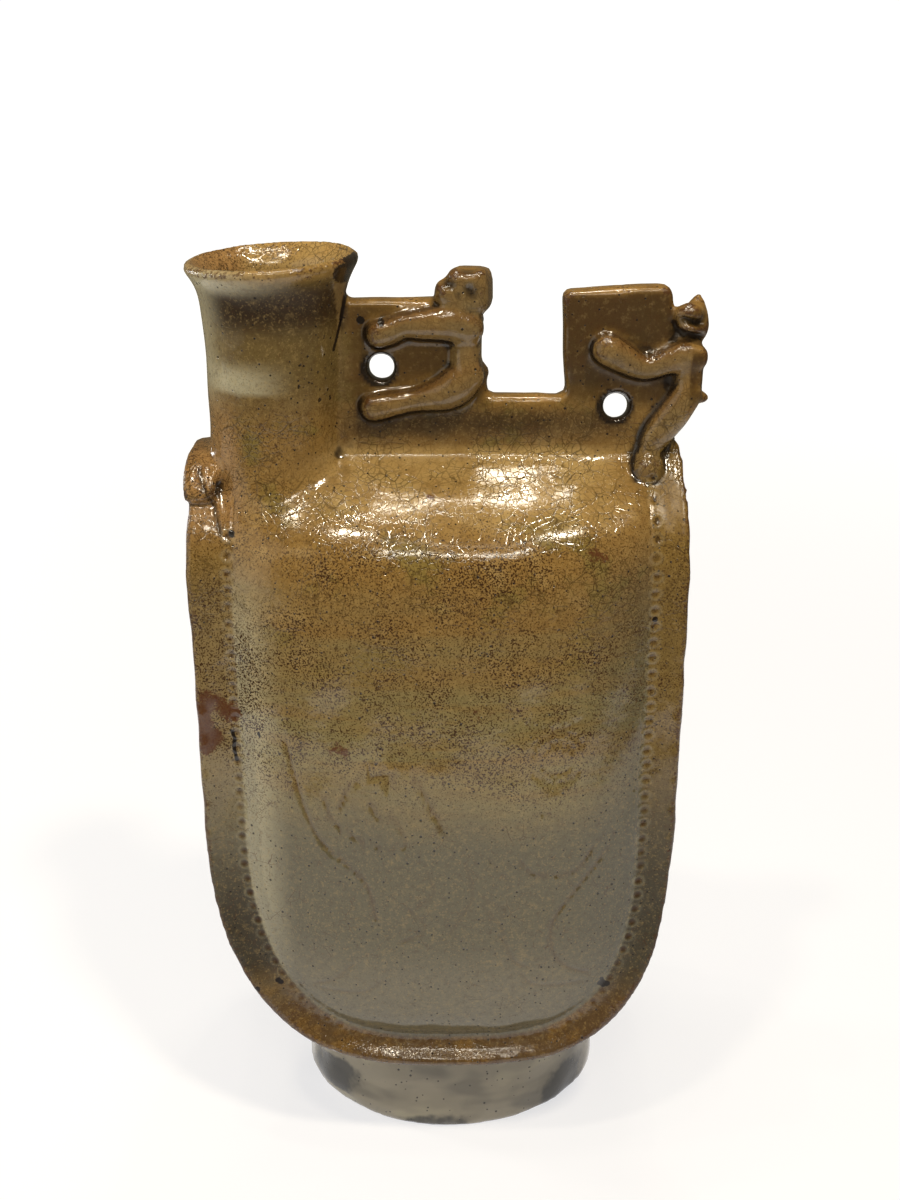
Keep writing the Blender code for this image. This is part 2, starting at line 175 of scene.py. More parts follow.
def panelShare(x, z):
    # half width of the panel at a height, as a share of its full half width
    left = x < bag["centreX"]
    low = (bag["bendLowZ"] - z) / (bag["bendLowZ"] - bag["bottomZ"])
    high = (z - bag["bendHighZ"]) / (bag["topZ"] - bag["bendHighZ"])
    t = np.clip(np.maximum(low, high), 0, 1)
    power = np.where(low > 0, np.where(left, *bag["powersLow"]), np.where(left, *bag["powersHigh"]))
    return (1 - t ** power) ** (1 / power)


def outline(count):
    # points and outward directions round the panel, from the top leftward
    angle = np.linspace(0, 2 * pi, 4801)
    left, upper = angle < pi, np.cos(angle) > 0
    power = np.where(upper, np.where(left, *bag["powersHigh"]), np.where(left, *bag["powersLow"]))
    base = np.where(upper, bag["bendHighZ"], bag["bendLowZ"])
    reach = np.where(upper, bag["topZ"], bag["bottomZ"]) - base
    wide = bag["halfWidth"] * np.abs(np.sin(angle)) ** (2 / power)
    x = bag["centreX"] + np.where(left, -wide, wide)
    z = base + reach * np.abs(np.cos(angle)) ** (2 / power)
    length = np.concatenate([[0], np.cumsum(np.hypot(np.diff(x), np.diff(z)))])
    want = length[-1] * np.arange(count) / count
    x, z = np.interp(want, length, x), np.interp(want, length, z)
    dx, dz = np.roll(x, -1) - np.roll(x, 1), np.roll(z, -1) - np.roll(z, 1)
    size = np.hypot(dx, dz)
    return x, z, dz / size, -dx / size


def shoulder(z):
    fall = np.maximum(0, bag["topZ"] - bag["ridgeFall"] - z)
    return bag["ridgeShare"] + (1 - bag["ridgeShare"]) * (1 - np.exp(-(fall / bag["shoulderFall"]) ** 1.45))


def panelDepth(x, z):
    # half depth of the bag at any place on the panel
    rise = np.maximum(0, z - bag["bottomZ"])
    past = z - bag["bottomZ"] - bag["leanStart"]
    lean = bag["lean"] * (np.hypot(past, bag["leanEase"]) + past) / 2
    centre = (bag["halfDepth"] - lean) * shoulder(z) * (1 - 0.10 * np.exp(-rise / bag["pinchRise"]))
    half = np.maximum(1e-6, bag["halfWidth"] * panelShare(x, z))
    share = np.minimum(1, np.abs(x - bag["centreX"]) / half)
    drop = bag["bulge"] * (1 - np.exp(-rise / bag["bulgeRise"])) * shoulder(z) ** 1.4
    return centre - drop * share ** 2.8


def hemShare(x, z):
    fade = np.where(x < bag["centreX"], hem["fadeLeft"], hem["fadeRight"])
    end = bag["topZ"] - hem["endDrop"]
    return 1 - smooth(z, end - fade, end)


def hemSection(x, z, nx, nz):
    # the hem from its seam over the rounded edge to its back corner, as outward and depth
    share = hemShare(x, z)
    down = np.maximum(0, -nz) ** 2.5
    width = mix(np.where(nx < 0, hem["widthLeft"], hem["widthRight"]), hem["widthBottom"], down)
    width = mix(hem["endWidth"], width, share)
    thick = mix(hem["endWidth"], hem["thick"], share)
    tilt = np.radians(mix(6, 45, down)) * share
    seam = panelDepth(x, z)
    edge = width - 0.15 * thick
    half = thick / 2
    scoop = hem["scoop"] * share * 4
    rows = [(mix(0, edge - half, t), scoop * t * (1 - t)) for t in np.linspace(0, 1, 10)[:-1]]
    rows += [(edge - half + half * cos(a), half + half * sin(a)) for a in np.linspace(-pi / 2, pi / 2, 9)]
    inner = np.minimum(edge - half - 0.0001, edge - mix(0.0004, hem["overhang"], share))
    rows += [(mix(edge - half, inner, 0.5), thick), (inner, thick)]
    c, s = np.cos(tilt), np.sin(tilt)
    section = [(a * c + u * s, seam + a * s - u * c) for a, u in rows]
    swell = mix(bag["ridgeSwell"], mix(bag["sideSwell"], bag["underSwell"], down), share)
    return section, swell


def bagForm(count, shares, inset, hemmed):
    x, z, nx, nz = outline(count)
    midLow = bag["bottomZ"] + 0.30 * (bag["topZ"] - bag["bottomZ"])
    midHigh = bag["topZ"] - 0.25 * (bag["topZ"] - bag["bottomZ"])
    roofDrop = (bag["ridgeFall"] + inset) / (bag["topZ"] - midHigh) if inset else 0
    lower = roofDrop * np.maximum(0, z - midHigh)
    mid = np.clip(z - lower, midLow, midHigh)
    front = []
    for share in shares:
        px, pz = mix(bag["centreX"], x, share), mix(mid, z - lower, share)
        front.append(stacked(px, inset - panelDepth(px, pz), pz))
    section, swell = hemSection(x, z, nx, nz)
    if hemmed:
        front += [stacked(x + nx * out, -deep, z + nz * out) for out, deep in section]
    backOut, backDeep = section[-1]
    pinched = np.minimum(1, inset / (0.8 * bag["wall"])) * (1 - smooth(-nz, -1, 0))
    reach = mix(backDeep, 0.5 * backDeep, pinched)
    for v in (0.93, 0.85, 0.76, 0.65, 0.54, 0.42, 0.30, 0.15):
        out = mix(backOut, swell, 1 - v ** 2.2) - inset
        front.append(stacked(x + nx * out, -reach * v, z + nz * out - 0.9 * lower))
    out = swell - inset
    middle = stacked(x + nx * out, 0, z + nz * out - 0.9 * lower)
    back = [ring * (1, -1, 1) for ring in front]
    return skin(back + [middle] + front[::-1], ladder=True)


# Foot: an oval ring with an open recess

foot = {
    "halfWidth": 0.0503, "halfDepth": 0.0388, "height": 0.0270, "taper": 0.0040,
    "ringWidth": 0.0065, "root": 0.018, "recessGap": 0.0012, "sides": 180,
}


def ovalRing(less, z):
    angle = turns(foot["sides"])
    wide, deep = foot["halfWidth"] - less, foot["halfDepth"] - less
    return stacked(wide * np.cos(angle), deep * np.sin(angle), z)


def footForms():
    worn, taper, height = 0.1 * foot["ringWidth"], foot["taper"], foot["height"]
    top = bag["bottomZ"] + foot["root"]
    steps = [(worn, 0), (0, worn), (0.08 * taper, 0.22 * height), (0.45 * taper, 0.6 * height), (taper, height)]
    outer = [ovalRing(less, z) for less, z in path(steps, 40)] + [ovalRing(1.12 * taper, top)]
    roof = bag["bottomZ"] - bag["underSwell"] - foot["recessGap"]
    width = foot["ringWidth"]
    steps = [(0, -0.15 * roof), (0, 0.05 * roof), (taper, 0.8 * roof), (2.5 * taper, roof)]
    inner = [ovalRing(width + more, z) for more, z in path(steps, 30)]
    return skin(outer), skin(inner)


# Spout: a neck on a leaning axis with a flared, tilted lip

spout = {
    "x": -0.0505, "lean": 0.0018, "height": 0.0445, "radius": 0.0184, "wall": 0.0034,
    "lipRadius": 0.0243, "lipHeight": 0.0140, "lipEdge": 0.0026, "lipTilt": 0.050, "root": 0.036, "sides": 160,
}


def spoutRing(radius, rise):
    angle = turns(spout["sides"])
    tip = smooth(rise, spout["height"] - spout["lipHeight"], spout["height"])
    x = radius * np.cos(angle)
    middle = spout["x"] + spout["lean"] * rise / spout["height"]
    return stacked(middle + x, radius * np.sin(angle), bag["topZ"] + rise + spout["lipTilt"] * x * tip)


def spoutForms():
    radius, height, lipHeight, edge = spout["radius"], spout["height"], spout["lipHeight"], spout["lipEdge"]
    flare, lip = spout["lipRadius"] - radius, height - lipHeight
    outer = path([
        (0.78 * radius, -spout["root"]), (radius, -0.55 * spout["root"]), (radius, 0),
        (radius + 0.10 * flare, 0.55 * lip), (radius + 0.24 * flare, lip),
        (radius + 0.45 * flare, lip + 0.45 * lipHeight), (radius + 0.74 * flare, lip + 0.70 * lipHeight),
        (spout["lipRadius"], height - 0.6 * edge), (spout["lipRadius"] - 0.35 * edge, height),
    ], 70)
    bore, mouth = radius - spout["wall"], spout["lipRadius"] - edge
    inner = path([
        (0.92 * bore, -0.94 * spout["root"]), (bore, 0), (mix(bore, mouth, 0.09), 0.52 * height),
        (mix(bore, mouth, 0.27), height - 0.55 * lipHeight),
        (mix(bore, mouth, 0.55), height - 0.25 * lipHeight),
        (mouth, height - 0.15 * edge), (mouth + 0.25 * edge, height + 2 * edge),
    ], 60)
    return skin([spoutRing(r, rise) for r, rise in outer]), skin([spoutRing(r, rise) for r, rise in inner])


# Lugs: ridge, saddle and both lugs as one plate, pierced twice

lugs = {
    "face": 0.0040, "soft": 0.0009, "root": 0.016, "saddle": 0.0055,
    "leftHeight": 0.0274, "rightHeight": 0.0302, "leftStart": -0.0290, "leftEnd": 0.0084,
    "rightStart": 0.0318, "rightEnd": 0.0616,
    "holeRadius": 0.0037, "leftHole": (-0.0193, 0.0082), "rightHole": (0.0473, -0.0032),
    "leftSlope": 0.17, "rightSlope": 0.28,
}
saddleZ = bag["topZ"] + lugs["saddle"]
leftLugZ = saddleZ + lugs["leftHeight"]
rightLugZ = saddleZ + lugs["rightHeight"]


def roundCorners(corners, steps=8):
    found = []
    for i, (x, z, radius) in enumerate(corners):
        here = np.array((x, z))
        before = np.array(corners[i - 1][:2]) - here
        after = np.array(corners[(i + 1) % len(corners)][:2]) - here
        start = here + before / np.linalg.norm(before) * radius
        end = here + after / np.linalg.norm(after) * radius
        for t in np.linspace(0, 1, steps + 1) if radius else (0,):
            found.append(start * (1 - t) ** 2 + here * 2 * t * (1 - t) + end * t * t)
    return np.array(found)


def plateForm():
    root, soft = bag["topZ"] - lugs["root"], lugs["soft"]
    insideX = spout["x"] + 0.65 * spout["radius"]
    flat = roundCorners((
        (insideX, root, 0),
        (lugs["rightEnd"] - 4.4 * soft, root, 0),
        (lugs["rightEnd"] + 0.7 * soft, bag["topZ"] - 0.25 * lugs["root"], 3.3 * soft),
        (lugs["rightEnd"] - 0.4 * soft, rightLugZ + 0.9 * soft, 2.9 * soft),
        (lugs["rightStart"] - 1.1 * soft, rightLugZ - 0.7 * soft, 2.4 * soft),
        (lugs["rightStart"] + 1.1 * soft, saddleZ, 1.3 * soft),
        (lugs["leftEnd"] + 0.7 * soft, saddleZ, 1.3 * soft),
        (lugs["leftEnd"], leftLugZ - 0.4 * soft, 2.4 * soft),
        (lugs["leftStart"], leftLugZ, 3.3 * soft),
        (lugs["leftStart"] - 2.2 * soft, leftLugZ - 0.51 * lugs["leftHeight"], 2.2 * soft),
        (insideX, leftLugZ - 0.66 * lugs["leftHeight"], 0),
    ))
    along = flat - np.roll(flat, 1, axis=0) + np.roll(flat, -1, axis=0) - flat
    along /= np.linalg.norm(along, axis=1)[:, None]
    x, z = flat.T
    dx, dz = along.T
    rings = []
    for side, steps in ((1, (0, 0.3, 0.6, 1)), (-1, (1, 0.6, 0.3, 0))):
        for t in steps:
            inset, y = soft * (1 - sin(t * pi / 2)), side * (lugs["face"] - soft * (1 - cos(t * pi / 2)))
            rings.append(stacked(x - inset * dz, y, z + inset * dx))
    return skin(rings)


def holeForm(place, slope):
    # pierced with a stick, so it widens at both faces and runs down towards the back
    angle = turns(40)
    rings = []
    for y in np.linspace(0.0128, -0.0128, 30):
        r = lugs["holeRadius"] * (1 + 0.22 * smooth(abs(y), lugs["face"] - 0.0016, lugs["face"]))
        z = saddleZ + place[1] - slope * np.clip(y, -lugs["face"], lugs["face"])
        rings.append(stacked(place[0] + r * np.cos(angle), y, z + r * np.sin(angle)))
    return skin(rings)


# Strap: the hem's thick upper end, folded over the left shoulder

strap = {"width": 0.0100, "thick": 0.0052, "reach": 0.0205, "rise": 0.0115, "drop": 0.0085, "proud": 0.0008}


def strapForm():
    middle = bag["centreX"] - bag["halfWidth"] - hem["widthLeft"] - strap["proud"] + strap["width"] / 2
    base = bag["topZ"] - strap["drop"] - strap["rise"]
    turn = turns(36)
    side, lift = squared(turn, 2 / 0.6)
    rings = []
    for angle in np.linspace(0, pi, 60):
        out = strap["thick"] * (0.41 * lift - 0.5) * (0.80 + 0.20 * sin(angle))
        x = middle + side * strap["width"] / 2 * (0.90 + 0.10 * sin(angle))
        rings.append(stacked(x, cos(angle) * (strap["reach"] + out), base + sin(angle) * (strap["rise"] + out)))
    return skin(rings)


# Figures: rolled limbs and modelled heads, as shares of their lug's height

limbs = {
    "radius": 0.0037, "lift": 0.0015, "flatness": 0.86, "torsoDepth": 0.0078,
    "sides": 30, "steps": 60, "squareness": 2.3,
}
figures = (
    {
        "end": "leftEnd", "height": "leftHeight",
        # arm and leg: places, then thickness as a share of the limbs' radius
        "limbs": (
            (((-1.022, 0.668), (-0.900, 0.700), (-0.780, 0.757),
              (-0.558, 0.768), (-0.307, 0.775), (-0.120, 0.740)),
             (1.00, 0.95, 0.88, 1.08, 1.26, 1.20)),
            (((-1.095, -0.084), (-0.870, -0.045), (-0.635, 0.000),
              (-0.347, 0.069), (-0.226, 0.146), (-0.110, 0.255)),
             (1.02, 0.92, 0.90, 1.26, 1.36, 1.15)),
        ),
        # torso, head, ears, snout, jaw and tail: place, half sizes, squareness, taper, lean and turn
        "lumps": (
            ((-0.146, 0.0, 0.456), (0.156, limbs["torsoDepth"] / lugs["leftHeight"], 0.518), 2.8),
            ((-0.120, -0.044, 1.090), (0.226, 0.241, 0.216), 5.0, 0.06, 0.010, 0.16),
            ((-0.245, -0.130, 1.268), (0.070, 0.120, 0.050), 2.4),
            ((0.000, -0.120, 1.285), (0.075, 0.120, 0.045), 2.4),
            ((-0.350, -0.125, 1.085), (0.112, 0.170, 0.120), 2.3),
            ((-0.265, -0.120, 0.985), (0.150, 0.160, 0.100), 2.2),
            ((0.029, 0.0, 0.241), (0.066, 0.080, 0.088), 2.2),
            ((0.018, 0.0, 0.085), (0.058, 0.090, 0.110), 2.2),
        ),
    },
    {
        "end": "rightEnd", "height": "rightHeight",
        "limbs": (
            (((-0.600, 0.472), (-0.520, 0.432), (-0.331, 0.328), (-0.205, 0.303),
              (-0.023, 0.366), (0.110, 0.410), (0.215, 0.400)),
             (1.10, 1.15, 0.98, 0.88, 0.97, 1.12, 1.02)),
            (((-0.169, -0.628), (-0.149, -0.503), (-0.099, -0.354), (0.036, -0.169), (0.172, 0.050)),
             (1.10, 0.88, 1.12, 1.25, 1.10)),
        ),
        # knob at the foot, torso, head, muzzle, jaw and tail
        "lumps": (
            ((-0.226, -0.285, -0.605), (0.060, 0.050, 0.055), 2.0),
            ((0.172, 0.0, 0.215), (0.146, limbs["torsoDepth"] / lugs["rightHeight"], 0.371), 2.6),
            ((0.182, -0.026, 0.735), (0.200, 0.200, 0.232), 2.3, 0.72, 0.052),
            ((0.118, -0.150, 0.812), (0.150, 0.130, 0.080), 2.2, 0.3, 0.03),
            ((0.158, -0.170, 0.672), (0.118, 0.105, 0.052), 2.3),
            ((0.338, 0.0, -0.033), (0.080, 0.070, 0.062), 1.8),
        ),
    },
)
limbLines = []


def faceUnder(x, z):
    # half depth of what a figure lies on: the plate, or the panel where that stands further out
    return np.maximum(lugs["face"], np.where(z < bag["topZ"], panelDepth(x, z), 0))


def limbForms(anchor, height, points, radii):
    spots = np.array([(anchor[0] + height * x, 0, anchor[1] + height * z) for x, z in points])
    flat = path(spots, limbs["steps"])
    thick = path([(limbs["radius"] * r, 0) for r in radii], limbs["steps"])[:, 0]
    limbLines.append((flat[:, (0, 2)], thick))
    under = faceUnder(flat[:, 0], flat[:, 2])
    across, lift = squared(turns(limbs["sides"]), limbs["squareness"])
    forms = []
    for side in (1, -1):
        line = flat.copy()
        line[:, 1] = -side * (under + limbs["lift"])
        ahead = np.gradient(line, axis=0)
        ahead /= np.linalg.norm(ahead, axis=1)[:, None]
        first, last = ahead[0] * thick[0], ahead[-1] * thick[-1]
        caps = [(sin(a), cos(a)) for a in np.linspace(1.45, 0.15, 7)]
        rows = [(line[0] - first * s, ahead[0], thick[0] * c) for s, c in caps]
        rows += list(zip(line, ahead, thick))
        rows += [(line[-1] + last * s, ahead[-1], thick[-1] * c) for s, c in caps[::-1]]
        rings = []
        for spot, way, r in rows:
            sideway = np.cross(way, (0, 1, 0))
            sideway /= np.linalg.norm(sideway)
            front = np.cross(sideway, way)
            rings.append(spot + np.outer(across * r, sideway) - np.outer(lift * r * limbs["flatness"], front))
        forms.append(skin(rings))
    return forms


def lumpForm(anchor, height, place, extent, power, taper=0.0, lean=0.0, turned=0.0):
    turn = turns(44)
    cx, cy = squared(turn, power)
    centre = (anchor[0] + height * place[0], height * place[1], anchor[1] + height * place[2])
    halves = [height * share for share in extent]
    rings = []
    for a in np.linspace(0.06, pi - 0.06, 34):
        rise = -cos(a)
        up = abs(rise) ** (2 / power) * (1 if rise > 0 else -1)
        wide = sin(a) ** (2 / power) * (1 - taper * (up + 1) / 2)
        y = halves[1] * wide * cy
        x = centre[0] + halves[0] * wide * cx + height * lean * (up + 1) / 2 + turned * y
        rings.append(stacked(x, centre[1] + y, centre[2] + halves[2] * up))
    return skin(rings)


def figureForms():
    forms = []
    for figure in figures:
        anchor, height = (lugs[figure["end"]], saddleZ), lugs[figure["height"]]
        for points, radii in figure["limbs"]:
            forms += limbForms(anchor, height, points, radii)
        for lump in figure["lumps"]:
            forms.append(lumpForm(anchor, height, *lump))
    return forms


# The body of clay: all forms as one skin, hollowed

def blendAt(points):
    # where the potter's thumb ran the neck and the ridge into the shoulders
    x, y, z = points.T
    deep = np.abs(y)
    neck = bump(z - 0.222, 0.022) * smooth(deep, 0.006, 0.012)
    neck = neck * (1 - smooth(x, -0.030, -0.022)) * smooth(x, -0.064, -0.058)
    ridge = bump(z - 0.2395, 0.011) * smooth(x, -0.034, -0.028) * (1 - smooth(x, 0.050, 0.056))
    ridge = ridge * smooth(deep, 0.0025, 0.0045) * (1 - smooth(deep, 0.014, 0.022))
    waist = bump(z - 0.036, 0.010) * (1 - smooth(deep, 0.040, 0.046))
    return neck, ridge, waist


def remeshed(thing, marker):
    applyTo(thing, "REMESH", mode="VOXEL", voxel_size=clayMesh["voxel"])
    for slot in (0, 1):
        thing.data.materials.append(glaze)
    thing.data.polygons.foreach_set("material_index", [marker] * len(thing.data.polygons))


def clayBody():
    footForm, recessForm = footForms()
    neckForm, boreForm = spoutForms()
    shares = np.concatenate([np.linspace(0.04, 0.86, 22), np.linspace(0.89, 0.995, 8)])
    body = meshFrom("glazed_flask", [bagForm(420, shares, 0.0, True), footForm, neckForm, plateForm()])
    remeshed(body, 0)
    neck, ridge, waist = blendAt(readPoints(body.data))
    for weight, rounds in ((neck, 130), (ridge, 26), (waist, 20)):
        writePoints(body.data, relaxed(readPoints(body.data), edgesOf(body.data), rounds, 0.6, weight))
    added = meshFrom("added_clay", [strapForm()] + figureForms())
    both = bmesh.new()
    both.from_mesh(body.data)
    both.from_mesh(added.data)
    both.to_mesh(body.data)
    both.free()
    bpy.data.objects.remove(added, do_unlink=True)
    remeshed(body, 0)
    removed = [bagForm(220, np.linspace(0.05, 0.97, 16), bag["wall"], False), boreForm, recessForm]
    removed += [holeForm(lugs["leftHole"], lugs["leftSlope"]), holeForm(lugs["rightHole"], lugs["rightSlope"])]
    hollow = meshFrom("hollow_form", removed)
    remeshed(hollow, 1)
    print("clay skinned", len(body.data.polygons), "hollow", len(hollow.data.polygons))
    applyTo(body, "BOOLEAN", operation="DIFFERENCE", solver="MANIFOLD", object=hollow)
    bpy.data.objects.remove(hollow, do_unlink=True)
    print("clay hollowed", len(body.data.polygons))
    return body


def readArray(items, name, kind=np.int32, width=1):
    values = np.empty(len(items) * width, kind)
    items.foreach_get(name, values)
    return values.reshape(-1, width) if width > 1 else values


def readPoints(mesh):
    return readArray(mesh.vertices, "co", np.float32, 3).astype(float)


def readNormals(mesh):
    return readArray(mesh.vertex_normals, "vector", np.float32, 3).astype(float)


def edgesOf(mesh):
    return readArray(mesh.edges, "vertices", width=2)


def insideOf(mesh):
    # true at the points of the hollow, whose faces carry the second marker
    sides = readArray(mesh.polygons, "loop_total")
    hollow = np.repeat(readArray(mesh.polygons, "material_index"), sides) == 1
    inside = np.zeros(len(mesh.vertices), bool)
    inside[readArray(mesh.loops, "vertex_index")[hollow]] = True
    return inside


def writePoints(mesh, points):
    mesh.vertices.foreach_set("co", points.astype(np.float32).ravel())
    mesh.update()


def relaxed(points, edges, rounds, strength=0.5, weight=None):
    # pulls each point towards the middle of its neighbours
    points = points.copy()
    if weight is not None:
        edges = edges[(weight[edges] > 0).any(axis=1)]
    used, edges = np.unique(edges, return_inverse=True)
    a, b = edges.reshape(-1, 2).T
    count = len(used)
    links = np.bincount(a, minlength=count) + np.bincount(b, minlength=count)
    pull = strength if weight is None else strength * weight[used]
    part = points[used]
    for turn in range(rounds):
        for axis in range(3):
            line = part[:, axis]
            total = np.bincount(a, line[b], count) + np.bincount(b, line[a], count)
            part[:, axis] = line + pull * (total / links - line)
    points[used] = part
    return points


# Grain: fine where the clay is worked, coarse inside and behind

grain = {
    "panel": 0.0013, "worked": 0.0009, "hemStrip": 0.0011, "side": 0.0023, "behind": 0.0022,
    "foot": 0.0019, "neck": 0.0013, "inside": 0.0065, "bore": 0.0018, "finest": 0.0009,
}


def grainAt(points, inside):
    x, y, z = points.T
    size = np.where(y < 0, grain["panel"], grain["behind"])
    past = np.abs(y) < panelDepth(x, z) - 0.008
    size = np.where(past, grain["side"], size)
    size = np.where(z < bag["bottomZ"], grain["foot"], size)
    size = np.where((y < 0) & (z > bag["topZ"] - 0.010) & (x > -0.031), grain["worked"], size)
    size = np.where((x < -0.026) & (z > bag["topZ"] - 0.006), grain["neck"], size)
    share = np.abs(x - bag["centreX"]) / (bag["halfWidth"] + 0.006)
    size = np.where((y < -0.008) & (share > 0.86) & ~past & (z > bag["bottomZ"]), grain["hemStrip"], size)
    bore = np.hypot(x - spout["x"], y) < spout["radius"]
    pierced = (z > 0.230) & (x > -0.030) & (np.abs(y) < 0.014)
    inner = np.where(bore & (z > 0.222), grain["bore"], np.where(pierced, grain["worked"], grain["inside"]))
    return np.where(inside, inner, size)


def thinned(body):
    mesh = body.data
    size = grainAt(readPoints(mesh), insideOf(mesh))
    group = body.vertex_groups.new(name="grain")
    levels = np.round(1 - grain["finest"] / size, 2)
    for level in np.unique(levels):
        group.add(np.nonzero(levels == level)[0].tolist(), float(level), "REPLACE")
    triangles = sum(len(p.vertices) - 2 for p in mesh.polygons)
    applyTo(body, "DECIMATE", decimate_type="COLLAPSE", ratio=clayMesh["triangles"] / triangles,
            vertex_group="grain", vertex_group_factor=1.0, use_collapse_triangulate=True)
    body.vertex_groups.clear()
    print("clay thinned", triangles, "to", len(body.data.polygons))


def refined(mesh, spots):
    # splits the longer edges near the given marks, so that small relief has points to stand on
    bm = bmesh.new()
    bm.from_mesh(mesh)
    near = spots(readPoints(mesh))
    long = [
        e for e in bm.edges
        if e.calc_length() > clayMesh["shortest"] and all(near[v.index] for v in e.verts)
    ]
    bmesh.ops.subdivide_edges(bm, edges=long, cuts=1, use_grid_fill=True)
    bmesh.ops.triangulate(bm, faces=[f for f in bm.faces if len(f.verts) > 3])
    bm.to_mesh(mesh)
    bm.free()
    mesh.update()


# Seam and stitches along the edge of both panels

seam = {
    "grooveWidth": 0.0010, "grooveDepth": 0.00022, "offset": 0.0016, "dotRadius": 0.00125, "dotDepth": 0.00050,
    "rimWidth": 0.0007, "rimHeight": 0.00010,
    "pitch": 0.00485, "leftStart": 0.207, "rightStart": 0.226, "unevenness": 0.0003,
}


def seamPlace(points):
    # along the hem's own face: distance out from the seam, depth below the face, and length along the outline
    x, z, nx, nz = outline(960)
    step = np.hypot(x[1] - x[0], z[1] - z[0])
    near = np.empty(len(points), int)
    for start in range(0, len(points), 4000):
        part = points[start:start + 4000]
        near[start:start + 4000] = ((part[:, :1] - x) ** 2 + (part[:, 2:] - z) ** 2).argmin(axis=1)
    x, z, nx, nz = x[near], z[near], nx[near], nz[near]
    dx, dz = points[:, 0] - x, points[:, 2] - z
    out = dx * nx + dz * nz
    along = near * step - dx * nz + dz * nx
    down = np.maximum(0, -nz) ** 2.5
    tilt = np.radians(mix(6, 45, down)) * hemShare(x, z)
    deep = np.abs(points[:, 1]) - panelDepth(x, z)
    return out * np.cos(tilt) + deep * np.sin(tilt), out * np.sin(tilt) - deep * np.cos(tilt), along, x, z


def stitchSpots():
    x, z, nx, nz = outline(960)
    step = np.hypot(x[1] - x[0], z[1] - z[0])
    left = np.nonzero((x < bag["centreX"]) & (z < seam["leftStart"]))[0][0] * step
    right = np.nonzero((x > bag["centreX"]) & (z > seam["rightStart"]))[0][0] * step
    rng = np.random.default_rng(11)
    at = np.arange(left, right, seam["pitch"])
    at = at + rng.uniform(-1, 1, len(at)) * seam["unevenness"]
    off = seam["offset"] + rng.uniform(-1, 1, len(at)) * seam["unevenness"] * 0.8
    return at, off, rng.uniform(0.55, 1.0, len(at))


# Scroll: incised leaves and curls low on the front panel, as strokes of x and z in millimetres with a strength

scroll = {"width": 0.00100, "depth": 0.00034}
scrollStrokes = (
    (1.0, ((-47.6, 149.1), (-43.6, 131.2), (-38.4, 118.3), (-31.2, 111.8), (-24.8, 104.2), (-22.2, 92.5))),
    (0.9, ((-36.7, 132.1), (-34.1, 124.8), (-26.1, 119.3), (-20.4, 117.4))),
    (1.0, ((-32.3, 129.4), (-28.9, 137.5), (-20.8, 140.7), (-12.8, 141.1), (-8.8, 137.5), (-5.6, 131.2),
           (-2.4, 123.9))),
    (0.7, ((-23.4, 132.1), (-21.1, 127.6), (-17.0, 127.6), (-14.6, 123.9), (-13.1, 118.3), (-18.0, 117.0))),
    (0.5, ((17.1, 123.0), (22.7, 126.7), (29.2, 127.6), (33.3, 123.9))),
    (0.9, ((20.5, 112.7), (24.7, 108.0), (32.2, 106.6), (37.9, 108.0), (42.6, 114.6))),
    (0.5, ((22.1, 156.5), (30.8, 154.3), (37.9, 156.5))),
    (0.9, ((47.6, 113.7), (38.1, 101.3), (31.0, 90.5), (31.3, 80.4), (34.9, 74.1), (42.7, 69.3))),
    (0.6, ((15.1, 86.5), (16.9, 83.5), (19.5, 77.3), (23.8, 74.6))),
    (0.6, ((22.2, 72.0), (24.8, 68.3), (32.6, 66.6), (40.3, 66.6))),
    (0.6, ((-42.0, 65.6), (-35.9, 68.8), (-29.7, 75.2))),
    (0.5, ((-40.4, 64.5), (-27.5, 64.5), (-20.5, 69.9))),
    (0.5, ((-6.6, 109.0), (-5.0, 102.3), (-10.0, 96.9))),
    (0.5, ((-12.5, 96.4), (-7.9, 91.5), (-9.2, 87.5), (-15.2, 84.5))),
    (0.5, ((4.9, 111.8), (6.6, 100.3), (2.5, 92.5), (0.0, 87.5))),
    (0.4, ((10.0, 100.3), (15.0, 96.9), (17.5, 96.9))),
    (0.5, ((11.7, 95.5), (15.1, 90.5), (16.8, 84.5))),
    (0.5, ((11.5, 113.7), (14.8, 109.0), (17.3, 106.1))),
)
scrollRings = ((31.0, 145.5, 5.0, 0.5), (31.0, 145.5, 8.0, 0.4))


def nearLine(flat, start, end):
    # distance of each point from a straight line between two places
    way = np.subtract(end, start)
    t = np.clip(((flat - start) @ way) / (way @ way), 0, 1)
    return np.hypot(*(flat - start - t[:, None] * way).T)


def scrollRelief(points):
    # how deep the tool went at each point, from 0 to 1
    lines = [(strength, path(stroke, 60) / 1000) for strength, stroke in scrollStrokes]
    turn = np.linspace(0.4, 5.6, 60)
    for x, z, r, strength in scrollRings:
        lines.append((strength, stacked(x + r * np.cos(turn), z + r * np.sin(turn)) / 1000))
    cut = np.zeros(len(points))
    part = np.nonzero((points[:, 1] < -0.02) & (points[:, 2] < 0.165))[0]
    flat = points[part][:, (0, 2)]
    for strength, line in lines:
        near = np.full(len(flat), 1.0)
        for a, b in zip(line[:-1], line[1:]):
            near = np.minimum(near, nearLine(flat, a, b))
        cut[part] = np.maximum(cut[part], strength * bump(near, scroll["width"]))
    return cut


# Handling: unevenness, nicks and touches of the modelling tool

